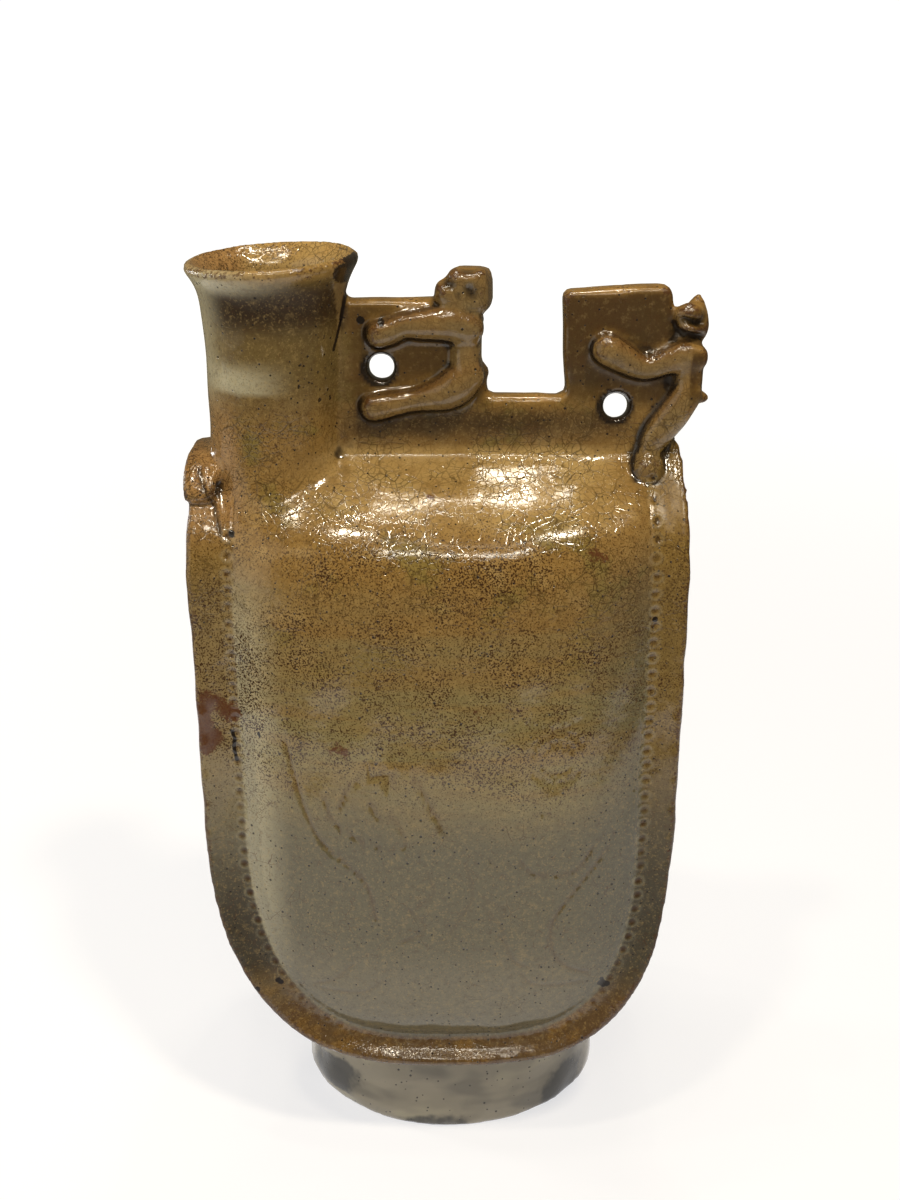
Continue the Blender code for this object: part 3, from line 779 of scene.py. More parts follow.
handling = {
    "swell": 0.00022, "swellFrom": 0.012, "swellTo": 0.050,
    "rimWobble": 0.00012, "rimFrom": 0.007, "rimTo": 0.020, "dent": 0.00032, "dentFrom": 0.011, "dentTo": 0.030,
    "clearOfNeck": 0.232,
}
toolTouches = (
    # from x, z to x, z, how wide and how deep, in millimetres, on the front only
    (5.2, 272.6, 6.0, 271.2, 1.4, 1.1),
    (-1.2, 274.2, 0.4, 273.7, 1.2, 1.0),
    (2.0, 271.0, 2.2, 270.9, 0.6, 0.5),
    (63.8, 264.4, 69.2, 263.2, 1.0, 1.6),
    (62.8, 260.7, 69.8, 259.0, 1.0, 1.2),
    (4.6, 278.6, 5.0, 278.6, 2.2, 0.6),
    (-70.5, 223.5, -67.2, 216.5, 0.7, 0.4),
    (-67.2, 216.5, -64.5, 208.0, 0.7, 0.4),
)
stainsAndShadow = {
    # from x, z to x, z on the front, how wide, in millimetres, and how strong
    "rust": (
        (-5.6, 217.4, -5.0, 217.2, 0.9, 1.0), (-64.0, 155.0, -70.5, 160.0, 4.0, 0.75),
        (-72.0, 148.0, -72.2, 156.0, 3.4, 1.0), (-69.0, 147.5, -71.5, 144.0, 2.6, 1.0),
        (-34.4, 148.1, -30.0, 148.0, 2.2, 0.55), (-32.9, 149.9, -31.0, 149.2, 1.0, 0.7),
        (39.5, 205.0, 43.0, 204.0, 2.2, 0.55), (4.0, 161.0, 10.0, 160.0, 3.0, 0.35),
    ),
    "black": (
        (47.0, 64.0, 49.2, 63.4, 1.1, 1.0), (47.5, 65.5, 48.0, 62.8, 0.8, 0.8),
        (-53.9, 64.5, -53.0, 64.0, 1.0, 0.9), (-60.4, 62.6, -60.0, 62.0, 0.8, 0.8),
        (-61.3, 208.1, -61.1, 207.8, 0.9, 1.0), (-55.5, 149.9, -55.4, 149.6, 0.7, 1.0),
        (-64.0, 149.2, -63.2, 146.5, 0.6, 0.9), (-63.2, 146.5, -63.6, 144.0, 0.6, 1.0),
        (-63.6, 144.0, -63.0, 139.5, 0.6, 0.9), (-57.8, 143.7, -47.9, 145.0, 0.4, 0.5),
        (58.2, 184.0, 58.3, 183.8, 0.9, 0.9), (-24.8, 263.6, -24.6, 263.5, 1.2, 0.9),
        # the last two black strokes, from -28.8, 270.0 down to -32.1, 256.0, are a painted shadow down the
        # neck's right edge where it meets the plate
        (-19.0, 263.5, -18.8, 263.4, 1.1, 0.7), (-28.8, 270.0, -30.0, 264.0, 0.6, 0.7),
        (-30.0, 264.0, -32.1, 256.0, 0.5, 0.6),
    ),
}


def stainAndShadowShare(points, kind):
    found = np.zeros(len(points))
    for *markSpan, strength in stainsAndShadow[kind]:
        x1, z1, x2, z2, wide = np.divide(markSpan, 1000)
        away = nearLine(points[:, (0, 2)], (x1, z1), (x2, z2))
        found = np.maximum(found, strength * bump(away, wide * 1.5))
    return found * (points[:, 1] < 0.0)


def workedRelief(points, normals, inside):
    # moves points along their normals, and returns the masks that the glaze reads
    outside = ~inside
    height = points[:, 2]
    out, under, along, seamX, seamZ = seamPlace(points)
    share = hemShare(seamX, seamZ)
    width = np.where(seamX < bag["centreX"], hem["widthLeft"], hem["widthRight"])
    low = height < handling["clearOfNeck"]
    face = outside & (np.abs(under) < 0.0022) & (out > -0.004) & (out < 0.016) & low
    swell = handling["swell"] * waves(points, 3, handling["swellFrom"], handling["swellTo"])
    move = np.where(outside, swell, 0)
    move -= seam["grooveDepth"] * bump(out + 0.0002, seam["grooveWidth"]) * share * face

    # stitches: a round hollow in a low rim, each a little out of line
    at, off, strength = stitchSpots()
    k = np.clip(np.searchsorted(at, along), 1, len(at) - 1)
    k = np.where(np.abs(at[k - 1] - along) < np.abs(at[k] - along), k - 1, k)
    faint = mix(0.45, 1.0, smooth(seamZ, 0.050, 0.085)) * strength[k] * face
    offCentre, reach = np.hypot(along - at[k], out - off[k]), seam["dotRadius"] * 1.25
    stitch = bump(offCentre, reach) * faint
    stitchRim = bump(offCentre - reach, seam["rimWidth"]) * faint
    cut = scrollRelief(points) * outside
    move += seam["rimHeight"] * stitchRim - seam["dotDepth"] * stitch - scroll["depth"] * cut

    # marks of the modelling tool, and soft dents in the foot
    pressed = np.zeros(len(points))
    facing = outside & (points[:, 1] < -0.003) & (normals[:, 1] < 0.3)
    for touch in toolTouches:
        x1, z1, x2, z2, wide, deep = np.divide(touch, 1000)
        mark = bump(nearLine(points[:, (0, 2)], (x1, z1), (x2, z2)), wide * 1.5) * facing
        move -= deep * mark
        pressed = np.maximum(pressed, mark)
    dents = waves(points, 5, handling["dentFrom"], handling["dentTo"]) * outside
    move += handling["dent"] * dents * smooth(height, 0.0010, 0.0060) * (1 - smooth(height, 0.024, 0.032))
    points = points + normals * move[:, None]
    low = points[:, 2] < handling["clearOfNeck"]
    edge = smooth(out, width - 0.005, width - 0.001) * share * outside * low
    wobble = handling["rimWobble"] * waves(points, 8, handling["rimFrom"], handling["rimTo"]) * edge
    points[:, 0] += wobble * np.sign(points[:, 0])
    strip = outside & (out > 0.0002) & (under > -0.003) & (under < hem["thick"] + 0.0015)
    strip = strip & (points[:, 2] < 0.234)
    masks = {
        "stitch": stitch, "stitchRim": stitchRim, "scroll": cut, "pressed": pressed,
        "hemStrip": strip * smooth(out, 0.0002, 0.0010) * share,
        "hemEdge": strip * smooth(out, width - 0.0042, width - 0.0006) * share,
        # painted shade in the groove along the seam, on the panel's side
        "gutter": face * (1 - smooth(out, 0.0002, 0.0012)) * (1 - smooth(-out, 0.0030, 0.0055)) * share,
        "rust": stainAndShadowShare(points, "rust") * outside, "black": stainAndShadowShare(points, "black") * outside,
    }
    masks.update(zonesOf(points, normals, outside))
    return points, masks


def limbEdges(points):
    # darker where a limb meets the plate: a dark joint all round, and painted shadow below and to the left of
    # it
    found = np.zeros(len(points))
    part = np.nonzero((points[:, 2] > 0.212) & (points[:, 0] > -0.036) & (np.abs(points[:, 1]) < 0.0125))[0]
    flat = points[part][:, (0, 2)]
    for line, thick in limbLines:
        away = np.hypot(flat[:, :1] - line[:, 0], flat[:, 1:] - line[:, 1]) - thick
        near = away.argmin(axis=1)
        past = away[np.arange(len(flat)), near]
        way = (flat - line[near]) / (np.abs(past) + thick[near])[:, None]
        weight = 0.50 + 0.50 * smooth(-way[:, 0] - way[:, 1], -0.4, 0.7)
        found[part] = np.maximum(found[part], bump(past - 0.0003, 0.0016) * weight)
    return found


def zonesOf(points, normals, outside):
    # broad areas where the colour differs: neck, painted reflections on the neck and lip, painted shade under
    # the lip and before the ridge, lug faces, upward faces, darker patches on the foot
    x, y, z = points.T
    front = y < 0
    lipZ = bag["topZ"] + spout["height"]
    around = np.arctan2(-y, spout["x"] - x)
    side = np.arctan2(-y, x)
    right = smooth(x, -0.031, -0.026)

    # neck and lip
    # painted reflections: a pale band round the neck, and a pale line on the lip's flare
    band = smooth(z, 0.2455, 0.2470) * (1 - smooth(z, 0.2500, 0.2570)) * bump(around - 1.1, 1.0)
    flare = smooth(z, 0.2715, 0.2765) * bump(around - 1.0, 1.1) * 0.8
    chipTop = bump(np.hypot((x + 0.0275) / 0.0042, (y + 0.0050) / 0.0095), 1.0) * smooth(z, 0.2745, 0.2775)
    chipSide = bump(np.hypot((x + 0.0282) / 0.0042, (z - 0.2775) / 0.0048), 1.0) * front * (x > -0.036)
    pocks = bump(np.hypot((x + 0.0370) / 0.0110, (z - 0.2480) / 0.0120), 1.0) * front
    # painted shade under the flared lip
    underLip = smooth(z, 0.2590, 0.2680) * (1 - smooth(z, 0.2725, 0.2790)) * (x < -0.028)

    # shoulder: painted shade in the hollow before the ridge, where the figures' shadows fall, pale on the brow
    # below it
    shade = smooth(z, 0.2262, 0.2345) * (1 - smooth(z, 0.2362, 0.2402)) * smooth(-y, 0.002, 0.005)
    # the pale brow: straw glaze, partly a painted highlight of the lamps above
    brow = smooth(z, 0.2075, 0.2165) * (1 - smooth(z, 0.2262, 0.2284))

    # lugs: what stands proud of the plate, and the dark joints round limbs and holes, with painted shadow below
    # and to the left of them
    plateRight = smooth(x, 0.024, 0.032) * smooth(z, 0.243, 0.247) * (np.abs(normals[:, 1]) > 0.9)
    under = faceUnder(x, z)
    raised = smooth(np.abs(y) - under, 0.0005, 0.0014) * (z > 0.2165) * (x > -0.031) * (x < 0.0665)
    ring = np.zeros(len(points))
    for hole, slope in ((lugs["leftHole"], lugs["leftSlope"]), (lugs["rightHole"], lugs["rightSlope"])):
        dx, dz = x - hole[0], z - saddleZ - hole[1] + slope * np.clip(y, -lugs["face"], lugs["face"])
        away = np.hypot(dx, dz)
        # the ring is widest below and to the left of the hole: painted shadow
        reach = 0.0014 - 0.0007 * (dx + dz) / np.maximum(1e-6, away)
        ring = np.maximum(ring, 1 - smooth(away - 1.15 * lugs["holeRadius"], 0.6 * reach, reach))

    # foot: darker at its left, at its right and low at the front
    footDarker = np.maximum.reduce([
        bump(side - 2.62, 0.42) * smooth(z, 0.002, 0.005) * (1 - smooth(z, 0.012, 0.019)),
        bump(side - 0.55, 0.36) * (1 - smooth(z, 0.010, 0.018)),
        bump(side - 1.75, 0.55) * (1 - smooth(z, 0.0020, 0.0075)) * 0.7,
    ])
    zones = {
        "neck": smooth(z, 0.232, 0.250) * (1 - right), "paintedNeckSheen": np.maximum(band, flare),
        "chip": np.maximum(chipTop, chipSide), "pocks": pocks, "plate": smooth(z, 0.236, 0.243) * right,
        "underLip": underLip * (1 - bump(around - 0.35, 0.55) * 0.8),
        "shade": shade * smooth(x, -0.036, -0.024) * (1 - smooth(x, 0.048, 0.056)),
        "brow": brow * (1 - smooth(np.abs(x - 0.004), 0.036, 0.052)),
        "upward": smooth(normals[:, 2], 0.10, 0.75) * smooth(z, 0.230, 0.238),
        "plateRight": plateRight, "raised": raised, "footDarker": footDarker * (z < 0.030),
        "contour": limbEdges(points) * (np.abs(y) < under + 0.0026),
    }
    zones = {name: share * outside for name, share in zones.items()}
    zones["innerNeck"] = smooth(z, 0.236, 0.246) * (x < -0.022) * ~outside
    zones["lipTop"] = smooth(z, lipZ - 0.0045, lipZ - 0.0020)
    zones["footZone"] = 1 - smooth(z, 0.024, 0.032)
    zones["ring"] = ring
    return zones


def curvature(points, normals, edges, rounds):
    # bend of the surface in 1 / metres, positive in hollows
    a, b = edges.T
    count = len(points)
    links = np.maximum(1, np.bincount(a, minlength=count) + np.bincount(b, minlength=count))
    length = ((points[a] - points[b]) ** 2).sum(axis=1)
    lift = ((points[b] - points[a]) * normals[a]).sum(axis=1)
    drop = ((points[a] - points[b]) * normals[b]).sum(axis=1)
    bend = (np.bincount(a, lift, count) + np.bincount(b, drop, count)) * 2
    bend /= np.bincount(a, length, count) + np.bincount(b, length, count)
    for turn in range(rounds):
        total = np.bincount(a, bend[b], count) + np.bincount(b, bend[a], count)
        bend = mix(bend, total / links, 0.6)
    return bend


body = clayBody()
mesh = body.data
writePoints(mesh, relaxed(readPoints(mesh), edgesOf(mesh), 6))
thinned(body)
mesh = body.data


def finely(points):
    # near stitches, stains and scrolls
    out, under, along, seamX, seamZ = seamPlace(points)
    stitched = (np.abs(out - seam["offset"]) < 0.0022) & (np.abs(under) < 0.0020) & (points[:, 2] < 0.229)
    marks = stainAndShadowShare(points, "black") + stainAndShadowShare(points, "rust") + scrollRelief(points)
    return stitched | (marks > 0)


refined(mesh, finely)
inside = insideOf(mesh)
points, masks = workedRelief(readPoints(mesh), readNormals(mesh), inside)
points = np.clip(points, np.add(cadBox[0], clayMesh["slack"]), np.subtract(cadBox[1], clayMesh["slack"]))
writePoints(mesh, points)
bend = curvature(points, readNormals(mesh), edgesOf(mesh), 4)
masks["worn"] = smooth(-bend, 60, 320) * ~inside
# painted shade in the surface's hollows
masks["creaseShade"] = smooth(bend, 40, 260) * ~inside
for name, share in masks.items():
    layer = mesh.attributes.new(name, "FLOAT", "POINT")
    layer.data.foreach_set("value", np.clip(share, 0, 1).astype(np.float32))
mesh.polygons.foreach_set("material_index", [0] * len(mesh.polygons))
mesh.shade_smooth()
print("clay worked", len(mesh.polygons), "triangles")


# Shader writing: sockets that can be added and multiplied like numbers

class Value:
    def __init__(self, tree, socket):
        self.tree = tree
        self.socket = socket

    def maths(self, operation, *others, clamp=False):
        node = self.tree.nodes.new("ShaderNodeMath")
        node.operation = operation
        node.use_clamp = clamp
        for place, value in enumerate((self,) + others):
            if isinstance(value, Value):
                self.tree.links.new(value.socket, node.inputs[place])
            else:
                node.inputs[place].default_value = value
        return Value(self.tree, node.outputs[0])

    def by(operation):
        return lambda self, other: self.maths(operation, other)

    __add__ = __radd__ = by("ADD")
    __sub__ = by("SUBTRACT")
    __mul__ = __rmul__ = by("MULTIPLY")
    most = by("MAXIMUM")

    def __rsub__(self, other):
        return (self * -1) + other

    def held(self):
        return self.maths("ADD", 0.0, clamp=True)

    def between(self, low, high):
        node = self.tree.nodes.new("ShaderNodeMapRange")
        node.interpolation_type = "SMOOTHSTEP"
        self.tree.links.new(self.socket, node.inputs[0])
        for place, value in enumerate((low, high, 0.0, 1.0)):
            node.inputs[place + 1].default_value = value
        return Value(self.tree, node.outputs[0])


class Finish:
    def __init__(self, material):
        self.material = material
        material.use_nodes = True
        self.tree = material.node_tree
        self.tree.nodes.clear()

    def add(self, kind, settings=(), sockets=(), output=0):
        # any node: its settings first, then the values or links of its sockets
        node = self.tree.nodes.new(kind)
        for name, value in dict(settings).items():
            setattr(node, name, value)
        for name, value in dict(sockets).items():
            if isinstance(value, Value):
                self.tree.links.new(value.socket, node.inputs[name])
            else:
                node.inputs[name].default_value = value
        return Value(self.tree, node.outputs[output]) if node.outputs else None

    def mask(self, name):
        return self.add("ShaderNodeAttribute", {"attribute_name": name}, output="Fac")

    def blend(self, factor, first, second):
        first, second = (tone if isinstance(tone, Value) else (*tone, 1) for tone in (first, second))
        settings = {"data_type": "RGBA", "blend_type": "MIX", "clamp_factor": True}
        return self.add("ShaderNodeMix", settings, {0: factor, 6: first, 7: second}, output=2)

    def stretch(self, vector, scale):
        return self.add("ShaderNodeVectorMath", {"operation": "MULTIPLY"}, {0: vector, 1: scale})

    def noise(self, vector, scale, detail, roughness=0.55, output=0):
        sockets = {"Vector": vector, "Scale": scale, "Detail": detail, "Roughness": roughness}
        return self.add("ShaderNodeTexNoise", {}, sockets, output)

    def cells(self, vector, scale, feature="F1", output=0):
        inputs = {"Vector": vector, "Scale": scale}
        return self.add("ShaderNodeTexVoronoi", {"feature": feature}, inputs, output)


# Glaze: amber above, grey green below, crazed, pitted and browned along the edges

glazeLook = {
    "amber": (0.215, 0.122, 0.032), "straw": (0.370, 0.248, 0.092), "honey": (0.205, 0.105, 0.020),
    "olive": (0.150, 0.115, 0.026), "grey": (0.185, 0.146, 0.058), "low": (0.064, 0.060, 0.040),
    # the second tone below is pale: painted reflections on the neck, lip and panel edge, and the pale stitch
    # rims and foot patches
    "neck": (0.104, 0.070, 0.022), "paleGlazeAndSheen": (0.42, 0.38, 0.25), "bark": (0.115, 0.070, 0.028),
    "lug": (0.072, 0.036, 0.008), "toast": (0.360, 0.205, 0.055), "crust": (0.105, 0.050, 0.016),
    "limb": (0.205, 0.120, 0.038), "side": (0.125, 0.088, 0.038), "foot": (0.270, 0.235, 0.172),
    "tan": (0.160, 0.096, 0.022), "dusk": (0.028, 0.022, 0.012), "umber": (0.085, 0.046, 0.018),
    "ginger": (0.230, 0.120, 0.022), "sand": (0.270, 0.148, 0.052), "brown": (0.058, 0.022, 0.006),
    "craze": (0.040, 0.021, 0.004), "speck": (0.036, 0.014, 0.004), "rust": (0.075, 0.024, 0.008),
    # the first tone below paints the shade under the lip and below the ridge, and darkens the right lug's faces
    "shadeAndDarkGlaze": (0.024, 0.013, 0.005), "greyDark": (0.028, 0.026, 0.022), "dark": (0.010, 0.006, 0.004),
    "amberFrom": 0.150, "amberTo": 0.198, "crazeSize": 0.0022, "crazeWide": 0.0050,
    "roughness": 0.13, "edgeRoughness": 0.22, "thickIor": 1.55, "thinIor": 1.3,
    "reliefStrength": 0.40, "reliefDepth": 0.0006,
    # pinholes: cells in a metre, size in a cell, how seldom, and how far the pocks favour them
    "pinholes": ((240, 0.075, 0.66, 0.3), (560, 0.130, 0.68, 0.3), (420, 0.190, 1.15, 0.70)),
}


def makeGlaze(material):
    look = glazeLook
    make = Finish(material)
    mask = make.mask
    place = make.add("ShaderNodeTexCoord", output="Object")
    across, height = (make.add("ShaderNodeSeparateXYZ", {}, {0: place}, output=axis) for axis in (0, 2))
    cloud = make.noise(place, 24, 4, 0.6)
    blotch = make.noise(place, 95, 3, 0.6)
    mottle = make.noise(make.stretch(place, (60, 60, 75)), 1.0, 3, 0.65)
    streak = make.noise(make.stretch(place, (14, 14, 170)), 1.0, 4, 0.6)
    dented = make.noise(make.stretch(place, (42, 42, 95)), 1.0, 2, 0.5)
    grain = make.noise(place, 520, 3, 0.7)
    grit = make.noise(place, 900, 2, 0.7)
    cloudy, blotchy, mottled, streaky, gritty = (noise - 0.5 for noise in (cloud, blotch, mottle, streak, grit))

    def coat(share, tone):
        nonlocal colour
        colour = make.blend(share, colour, look[tone])

    # body colour by height, with wiped bands in the border
    warm = (height + cloudy * 0.060 + streaky * 0.045).between(look["amberFrom"], look["amberTo"])
    colour = make.blend(warm, look["grey"], look["amber"])
    coat(mottle.between(0.52, 0.66) * warm * 0.70, "olive")
    coat(blotch.between(0.52, 0.72) * warm * 0.45, "straw")
    # pale straw on the brow, partly a painted highlight
    coat(mask("brow") * (0.62 + blotchy * 1.2 + mottled * 1.2), "straw")
    coat(height.between(0.105, 0.150) * (1 - warm) * streak.between(0.40, 0.64) * 0.48, "honey")
    coat((height + cloudy * 0.03).between(0.144, 0.112) * 0.75, "low")
    coat(height.between(0.088, 0.066) * 0.22, "foot")
    # painted reflection of the bright light at the left, pale down the panel's left edge
    coat(across.between(-0.046, -0.060) * height.between(0.207, 0.180) * 0.66, "paleGlazeAndSheen")
    # painted shade on the upper right of the panel, turned away from the light at the left
    coat(across.between(0.030, 0.054) * height.between(0.215, 0.190) * 0.50, "low")

    # neck, lugs and foot
    zoneNames = ("neck", "plate", "upward", "raised", "footZone")
    neck, plate, upward, raised, bare = (mask(name) for name in zoneNames)
    coat(neck * 0.90, "neck")
    coat(neck * (height + cloudy * 0.02).between(0.256, 0.238) * 0.50, "bark")
    coat(mask("innerNeck") * 0.90, "straw")
    # painted shade under the lip
    coat(mask("underLip") * 0.95, "shadeAndDarkGlaze")
    # painted reflections on the neck and on the lip's flare
    coat(mask("paintedNeckSheen") * (0.72 + streaky), "paleGlazeAndSheen")
    # painted reflection of the bright light at the left, pale down the neck's left side
    coat(neck * across.between(-0.0590, -0.0680) * 0.55, "paleGlazeAndSheen")
    coat(plate * 0.85, "lug")
    # painted shade and shadow below the ridge
    coat(mask("shade") * 0.85, "shadeAndDarkGlaze")
    coat(mask("plateRight") * (1 - raised) * 0.45, "shadeAndDarkGlaze")
    coat(raised * 0.80, "limb")
    coat(raised * (1 - upward) * (0.45 + blotchy * 1.5), "side")
    tops = (upward * (1 - raised * 0.8)).most(mask("lipTop") * 0.75) * (0.46 + blotchy * 1.6)
    coat(tops, "toast")
    coat(raised * upward * (0.70 + blotchy * 1.2), "crust")
    # the foot's grey glaze, painted paler as a reflection of the pale floor
    coat(bare * 0.85, "foot")
    coat(bare * dented.between(0.50, 0.66) * 0.45, "greyDark")
    coat(bare * dented.between(0.46, 0.34) * 0.35, "paleGlazeAndSheen")

    # hem, seam and edges
    hemStrip = mask("hemStrip")
    higher = height.between(0.085, 0.160)
    coat(hemStrip * higher * 0.80, "tan")
    # painted shade low on the hem, strongest on the left
    leftward = across.between(0.02, -0.02) * 0.25 + 0.72
    coat(hemStrip * (1 - higher) * height.between(0.050, 0.070) * leftward, "dusk")
    shelf = hemStrip * height.between(0.072, 0.054)
    coat(shelf * 0.90, "umber")
    coat(shelf * mottle.between(0.46, 0.62) * 0.45, "ginger")
    coat(across.between(-0.056, -0.062) * height.between(0.200, 0.214) * (1 - neck) * 0.90, "sand")
    # painted shade beside the seam
    coat(mask("gutter") * 0.25 * (1 - warm * 0.7), "low")
    edges = mask("hemEdge").most(mask("worn")).most(tops * 0.80)
    rough = gritty * 2.8 + blotchy * 1.4
    brownEdge = (edges * 1.20 + upward * raised * 0.35 + shelf * 0.5 + rough).between(0.75, 1.30)
    coat(brownEdge * 0.85, "brown")

    # fine unevenness of the glaze over the body
    glazed = 1 - bare
    coat(grain.between(0.48, 0.78) * glazed * 0.40, "brown")
    coat((1 - grain).between(0.50, 0.78) * glazed * 0.24, "straw")

    # crazing in two sizes, strongest in the thick amber glaze
    drift = make.noise(place, 260, 2, output="Color")
    drifting = {0: drift, 1: (0.0014,) * 3, 2: place}
    wander = make.add("ShaderNodeVectorMath", {"operation": "MULTIPLY_ADD"}, drifting)
    crackSizes = (look["crazeSize"], look["crazeWide"])
    small, wide = (make.cells(wander, 1 / size, "DISTANCE_TO_EDGE") for size in crackSizes)
    lines = ((1 - small.between(0.0, 0.085)) * 0.75).most(1 - wide.between(0.0, 0.040))
    crazed = lines * ((height.between(0.155, 0.200) + shelf * 0.6).held() * 0.85 + 0.04)
    crazed = crazed * (mottle.between(0.36, 0.60) * 0.75 + 0.18) * glazed
    crazed = crazed * (1 - (plate * (1 - raised * 0.5) + neck).held() * 0.85)
    coat(crazed.held(), "craze")

    # sandy speckle in a belt below the shoulder, thin scratches, specks and pinholes
    belt = height.between(0.112, 0.150) * height.between(0.222, 0.200)
    leftEdge = across.between(-0.026, -0.050) * height.between(0.180, 0.205) * (1 - neck)
    dusting = belt.most(leftEdge * 0.7) * (0.60 + cloudy * 1.8 + blotchy)
    sand = make.noise(place, 2000, 2, 0.5)
    coat(((sand + dusting * 0.10).between(0.57, 0.67) * (0.30 + dusting * 0.95) * glazed).held(), "speck")
    coat((1 - make.noise(place, 1500, 2, 0.5)).between(0.56, 0.70) * (1 - plate) * glazed * 0.24, "straw")
    scored = (1 - wide.between(0.0, 0.020)) * blotch.between(0.55, 0.61) * height.between(0.178, 0.160)
    coat(scored * glazed * 0.75, "brown")
    pinhole = None
    for scale, size, seldom, pocked in look["pinholes"]:
        cellTone = make.cells(place, scale, output="Color")
        chance = make.add("ShaderNodeSeparateColor", {}, {0: cellTone}, output=0)
        chance = chance + mask("pocks") * pocked
        spots = make.cells(place, scale).between(size * 1.5, size) * chance.between(seldom, seldom + 0.02)
        pinhole = spots if pinhole is None else pinhole.most(spots)
    coat(pinhole * 0.9, "dark")

    # hollows painted darker: painted shade in creases, dents and stitch holes, and the dark joints round holes
    # and limbs with their painted shadow
    stitch = mask("stitch")
    coat((stitch * (0.85 - higher * 0.45)).held(), "brown")
    coat(mask("stitchRim") * 0.16 * (1 - stitch), "paleGlazeAndSheen")
    creaseDark = mask("creaseShade").between(0.30, 0.90) * (height.between(0.200, 0.218) * 0.65 + 0.20)
    coat(creaseDark.most(mask("pressed") * 0.9).most(mask("ring") * 0.95).most(mask("contour") * 1.1), "dark")
    coat(mask("scroll") * 0.40, "brown")

    # rust and black marks, a painted shadow down the neck's right edge, a chip and darker patches on the foot,
    # each with a ragged edge
    ragged = gritty * 1.6 + blotchy * 0.8
    coat((mask("rust") * 1.2 + ragged).between(0.35, 0.80) * 0.9, "rust")
    coat((mask("black") * 1.2 + ragged * 0.3).between(0.30, 0.60), "dark")
    coat((mask("chip") * 1.3 + ragged * 0.4).between(0.30, 0.60) * 0.95, "dark")
    coat((mask("footDarker") * 1.1 + blotchy * 1.8).between(0.30, 0.80) * 0.9, "greyDark")

    # thin glaze shines less
    dull = mask("underLip") + mask("shade") * 0.7 + mask("plateRight") * 0.6
    dull = dull + across.between(0.054, 0.060) * height.between(0.200, 0.212) * (1 - raised) * 0.9
    dull = (dull + hemStrip * (1 - higher) * height.between(0.052, 0.066) * 0.9).held()
    roughness = brownEdge * (look["edgeRoughness"] - look["roughness"]) + look["roughness"]
    roughness = roughness + blotchy * 0.10 + dull * 0.22
    grainRise = grit * (0.05 + brownEdge * 0.35 + shelf * 0.30)
    relief = 0.5 - crazed * 0.20 - pinhole * 0.8 + blotch * 0.8 + grainRise
    lumps = make.add("ShaderNodeBump", {}, {
        "Strength": look["reliefStrength"], "Distance": look["reliefDepth"], "Height": relief,
    })
    thick, thin = (make.add("ShaderNodeBsdfPrincipled", {}, {
        "Base Color": colour, "Roughness": roughness, "Normal": lumps, "IOR": ior, "Specular IOR Level": 0.5,
    }) for ior in (look["thickIor"], look["thinIor"]))
    surface = make.add("ShaderNodeMixShader", {}, {0: dull, 1: thick, 2: thin})
    make.add("ShaderNodeOutputMaterial", {}, {"Surface": surface})


makeGlaze(glaze)
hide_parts("bag_flask")
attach(body, "root")
print("glaze laid")


# Studio: pale floor, soft light from above, a few small lamps for the glints

studio = {
    "floorTone": (0.32, 0.32, 0.32), "floorNear": (0.66, 0.66, 0.68), "floorFar": (0.99, 0.99, 0.98),
    "farFrom": 0.20, "farTo": 1.30, "tableReach": 0.43,
    "floorReach": 6.0, "floorEdge": 900.0, "floorRise": 50.0,
    "worldTone": (0.95, 0.84, 0.60), "worldStrength": 0.13,
    "camera": (0.0, -0.362, 0.3426), "lookDown": 24.6, "lens": 26.0, "sensor": 24.0, "clipEnd": 2000,
}
overheadTone, caseTone, glintTone = (1.0, 0.89, 0.70), (1.0, 0.93, 0.78), (1.0, 0.93, 0.80)
lamps = (
    # name, place, height it is aimed at, width and depth, power, colour
    ("overhead_spot", (0.34, -0.42, 1.25), 0.15, (0.11, 0.11), 8.0, overheadTone),
    ("overhead_left", (-0.30, -0.36, 1.30), 0.15, (0.08, 0.08), 3.6, overheadTone),
    ("case_left", (-0.08, 0.17, 1.20), 0.20, (0.26, 0.045), 1.3, caseTone),
    ("case_right", (0.10, 0.23, 1.20), 0.20, (0.12, 0.14), 1.4, caseTone),
    ("case_front", (-0.03, -0.50, 1.15), 0.20, (0.45, 0.03), 0.25, caseTone),
    ("left_window", (-0.95, -0.35, 0.50), 0.18, (1.20, 1.20), 3.4, (0.98, 0.95, 0.82)),
    ("left_strip", (-0.75, 0.30, 0.36), 0.22, (0.10, 0.30), 1.6, (0.98, 0.98, 0.95)),
    ("shelf_glint", (-0.02, -0.85, 1.20), 0.10, (0.40, 0.06), 2.4, caseTone),
    ("glint_left", (-0.20, 0.01, 1.20), 0.20, (0.02, 0.02), 0.5, glintTone),
    ("glint_middle", (-0.08, -0.05, 1.20), 0.20, (0.02, 0.02), 0.4, glintTone),
    ("glint_right", (0.06, 0.27, 1.20), 0.20, (0.02, 0.02), 0.5, glintTone),
)


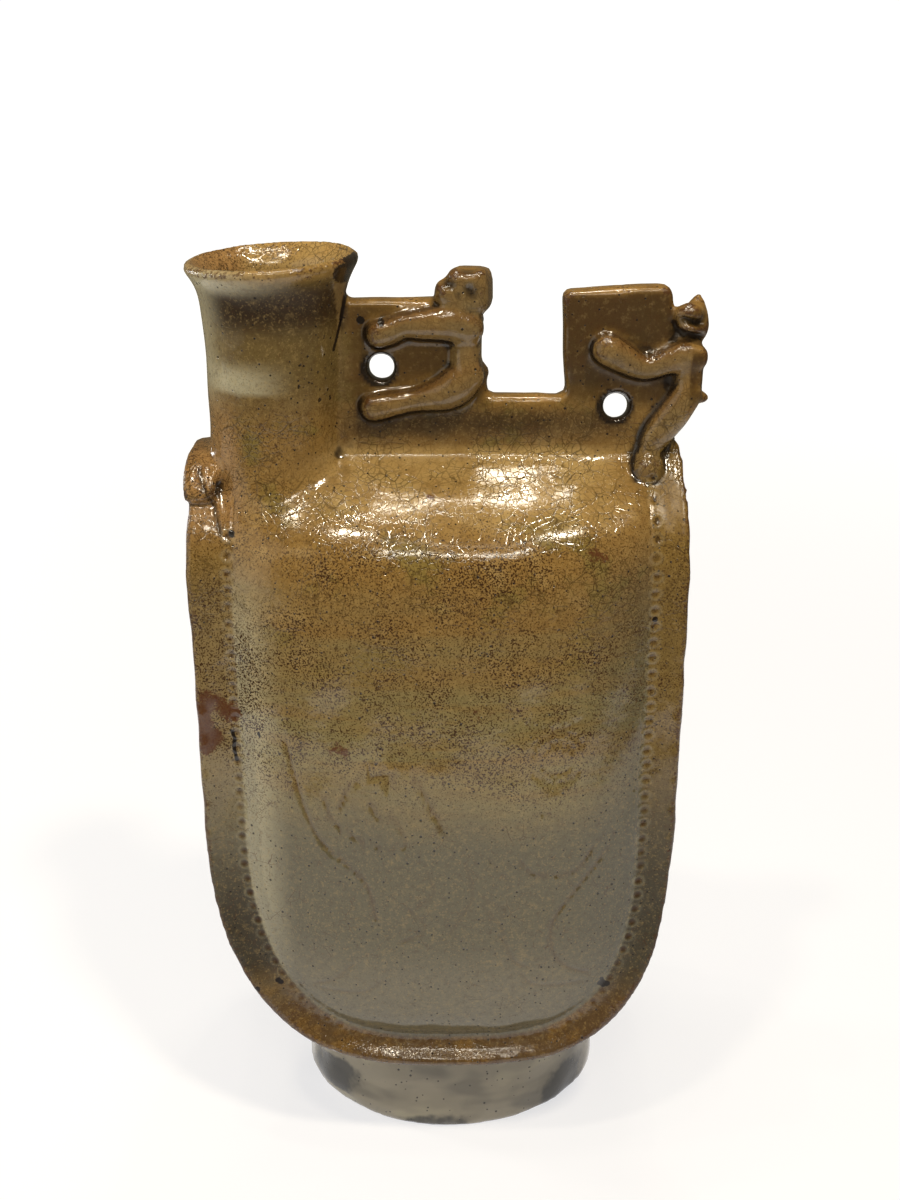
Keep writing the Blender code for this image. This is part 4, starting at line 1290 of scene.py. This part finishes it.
def makeFloor():
    turn = turns(64)
    reaches = ((studio["tableReach"], 0), (studio["floorReach"], 0), (studio["floorEdge"], studio["floorRise"]))
    rings = [stacked(reach * np.cos(turn), reach * np.sin(turn), rise) for reach, rise in reaches]
    band = [[k, (k + 1) % 64, 64 + (k + 1) % 64, 64 + k] for k in range(64)]
    slope = [[64 + k for k in face] for face in band]
    table = meshFrom("studio_floor", [(rings[0], [list(range(64))])])
    floor = meshFrom("studio_floor_far", [(np.vstack(rings), band + slope)])
    # the glaze mirrors only the near part of the floor, as it would a table
    floor.visible_glossy = False
    paint = Finish(bpy.data.materials.new("pale_floor"))
    place = paint.add("ShaderNodeTexCoord", output="Object")
    away = paint.add("ShaderNodeVectorMath", {"operation": "LENGTH"}, {0: place}, output="Value")
    far = away.between(studio["farFrom"], studio["farTo"])
    glow = paint.blend(far, studio["floorNear"], studio["floorFar"])
    matte = paint.add("ShaderNodeBsdfPrincipled", {}, {
        "Base Color": (*studio["floorTone"], 1), "Roughness": 0.9,
        "Emission Color": glow, "Emission Strength": 1.0,
    })
    paint.add("ShaderNodeOutputMaterial", {}, {"Surface": matte})
    for part in (table, floor):
        part.data.materials.append(paint.material)


def makeLamp(name, place, aim, size, power, colour):
    light = bpy.data.lights.new(name, "AREA")
    light.shape = "RECTANGLE"
    light.size, light.size_y = size
    light.energy = power
    light.color = colour
    lamp = bpy.data.objects.new(name, light)
    lamp.location = place
    lamp.rotation_euler = (Vector((0, 0, aim)) - Vector(place)).to_track_quat("-Z", "Y").to_euler()
    bpy.context.collection.objects.link(lamp)


def makeStudio():
    makeFloor()
    for lamp in lamps:
        makeLamp(*lamp)
    scene = bpy.context.scene
    world = bpy.data.worlds.new("studio_air")
    world.use_nodes = True
    air = world.node_tree.nodes["Background"].inputs
    air[0].default_value = (*studio["worldTone"], 1)
    air[1].default_value = studio["worldStrength"]
    scene.world = world
    lens = bpy.data.cameras.new("photo_camera")
    lens.sensor_fit = "AUTO"
    lens.sensor_width = studio["sensor"]
    lens.lens = studio["lens"]
    lens.clip_end = studio["clipEnd"]
    camera = bpy.data.objects.new("photo_camera", lens)
    camera.location = studio["camera"]
    camera.rotation_euler = (radians(90 - studio["lookDown"]), 0, 0)
    bpy.context.collection.objects.link(camera)
    scene.camera = camera
    scene.view_settings.view_transform = "Standard"


makeStudio()
print("studio set")
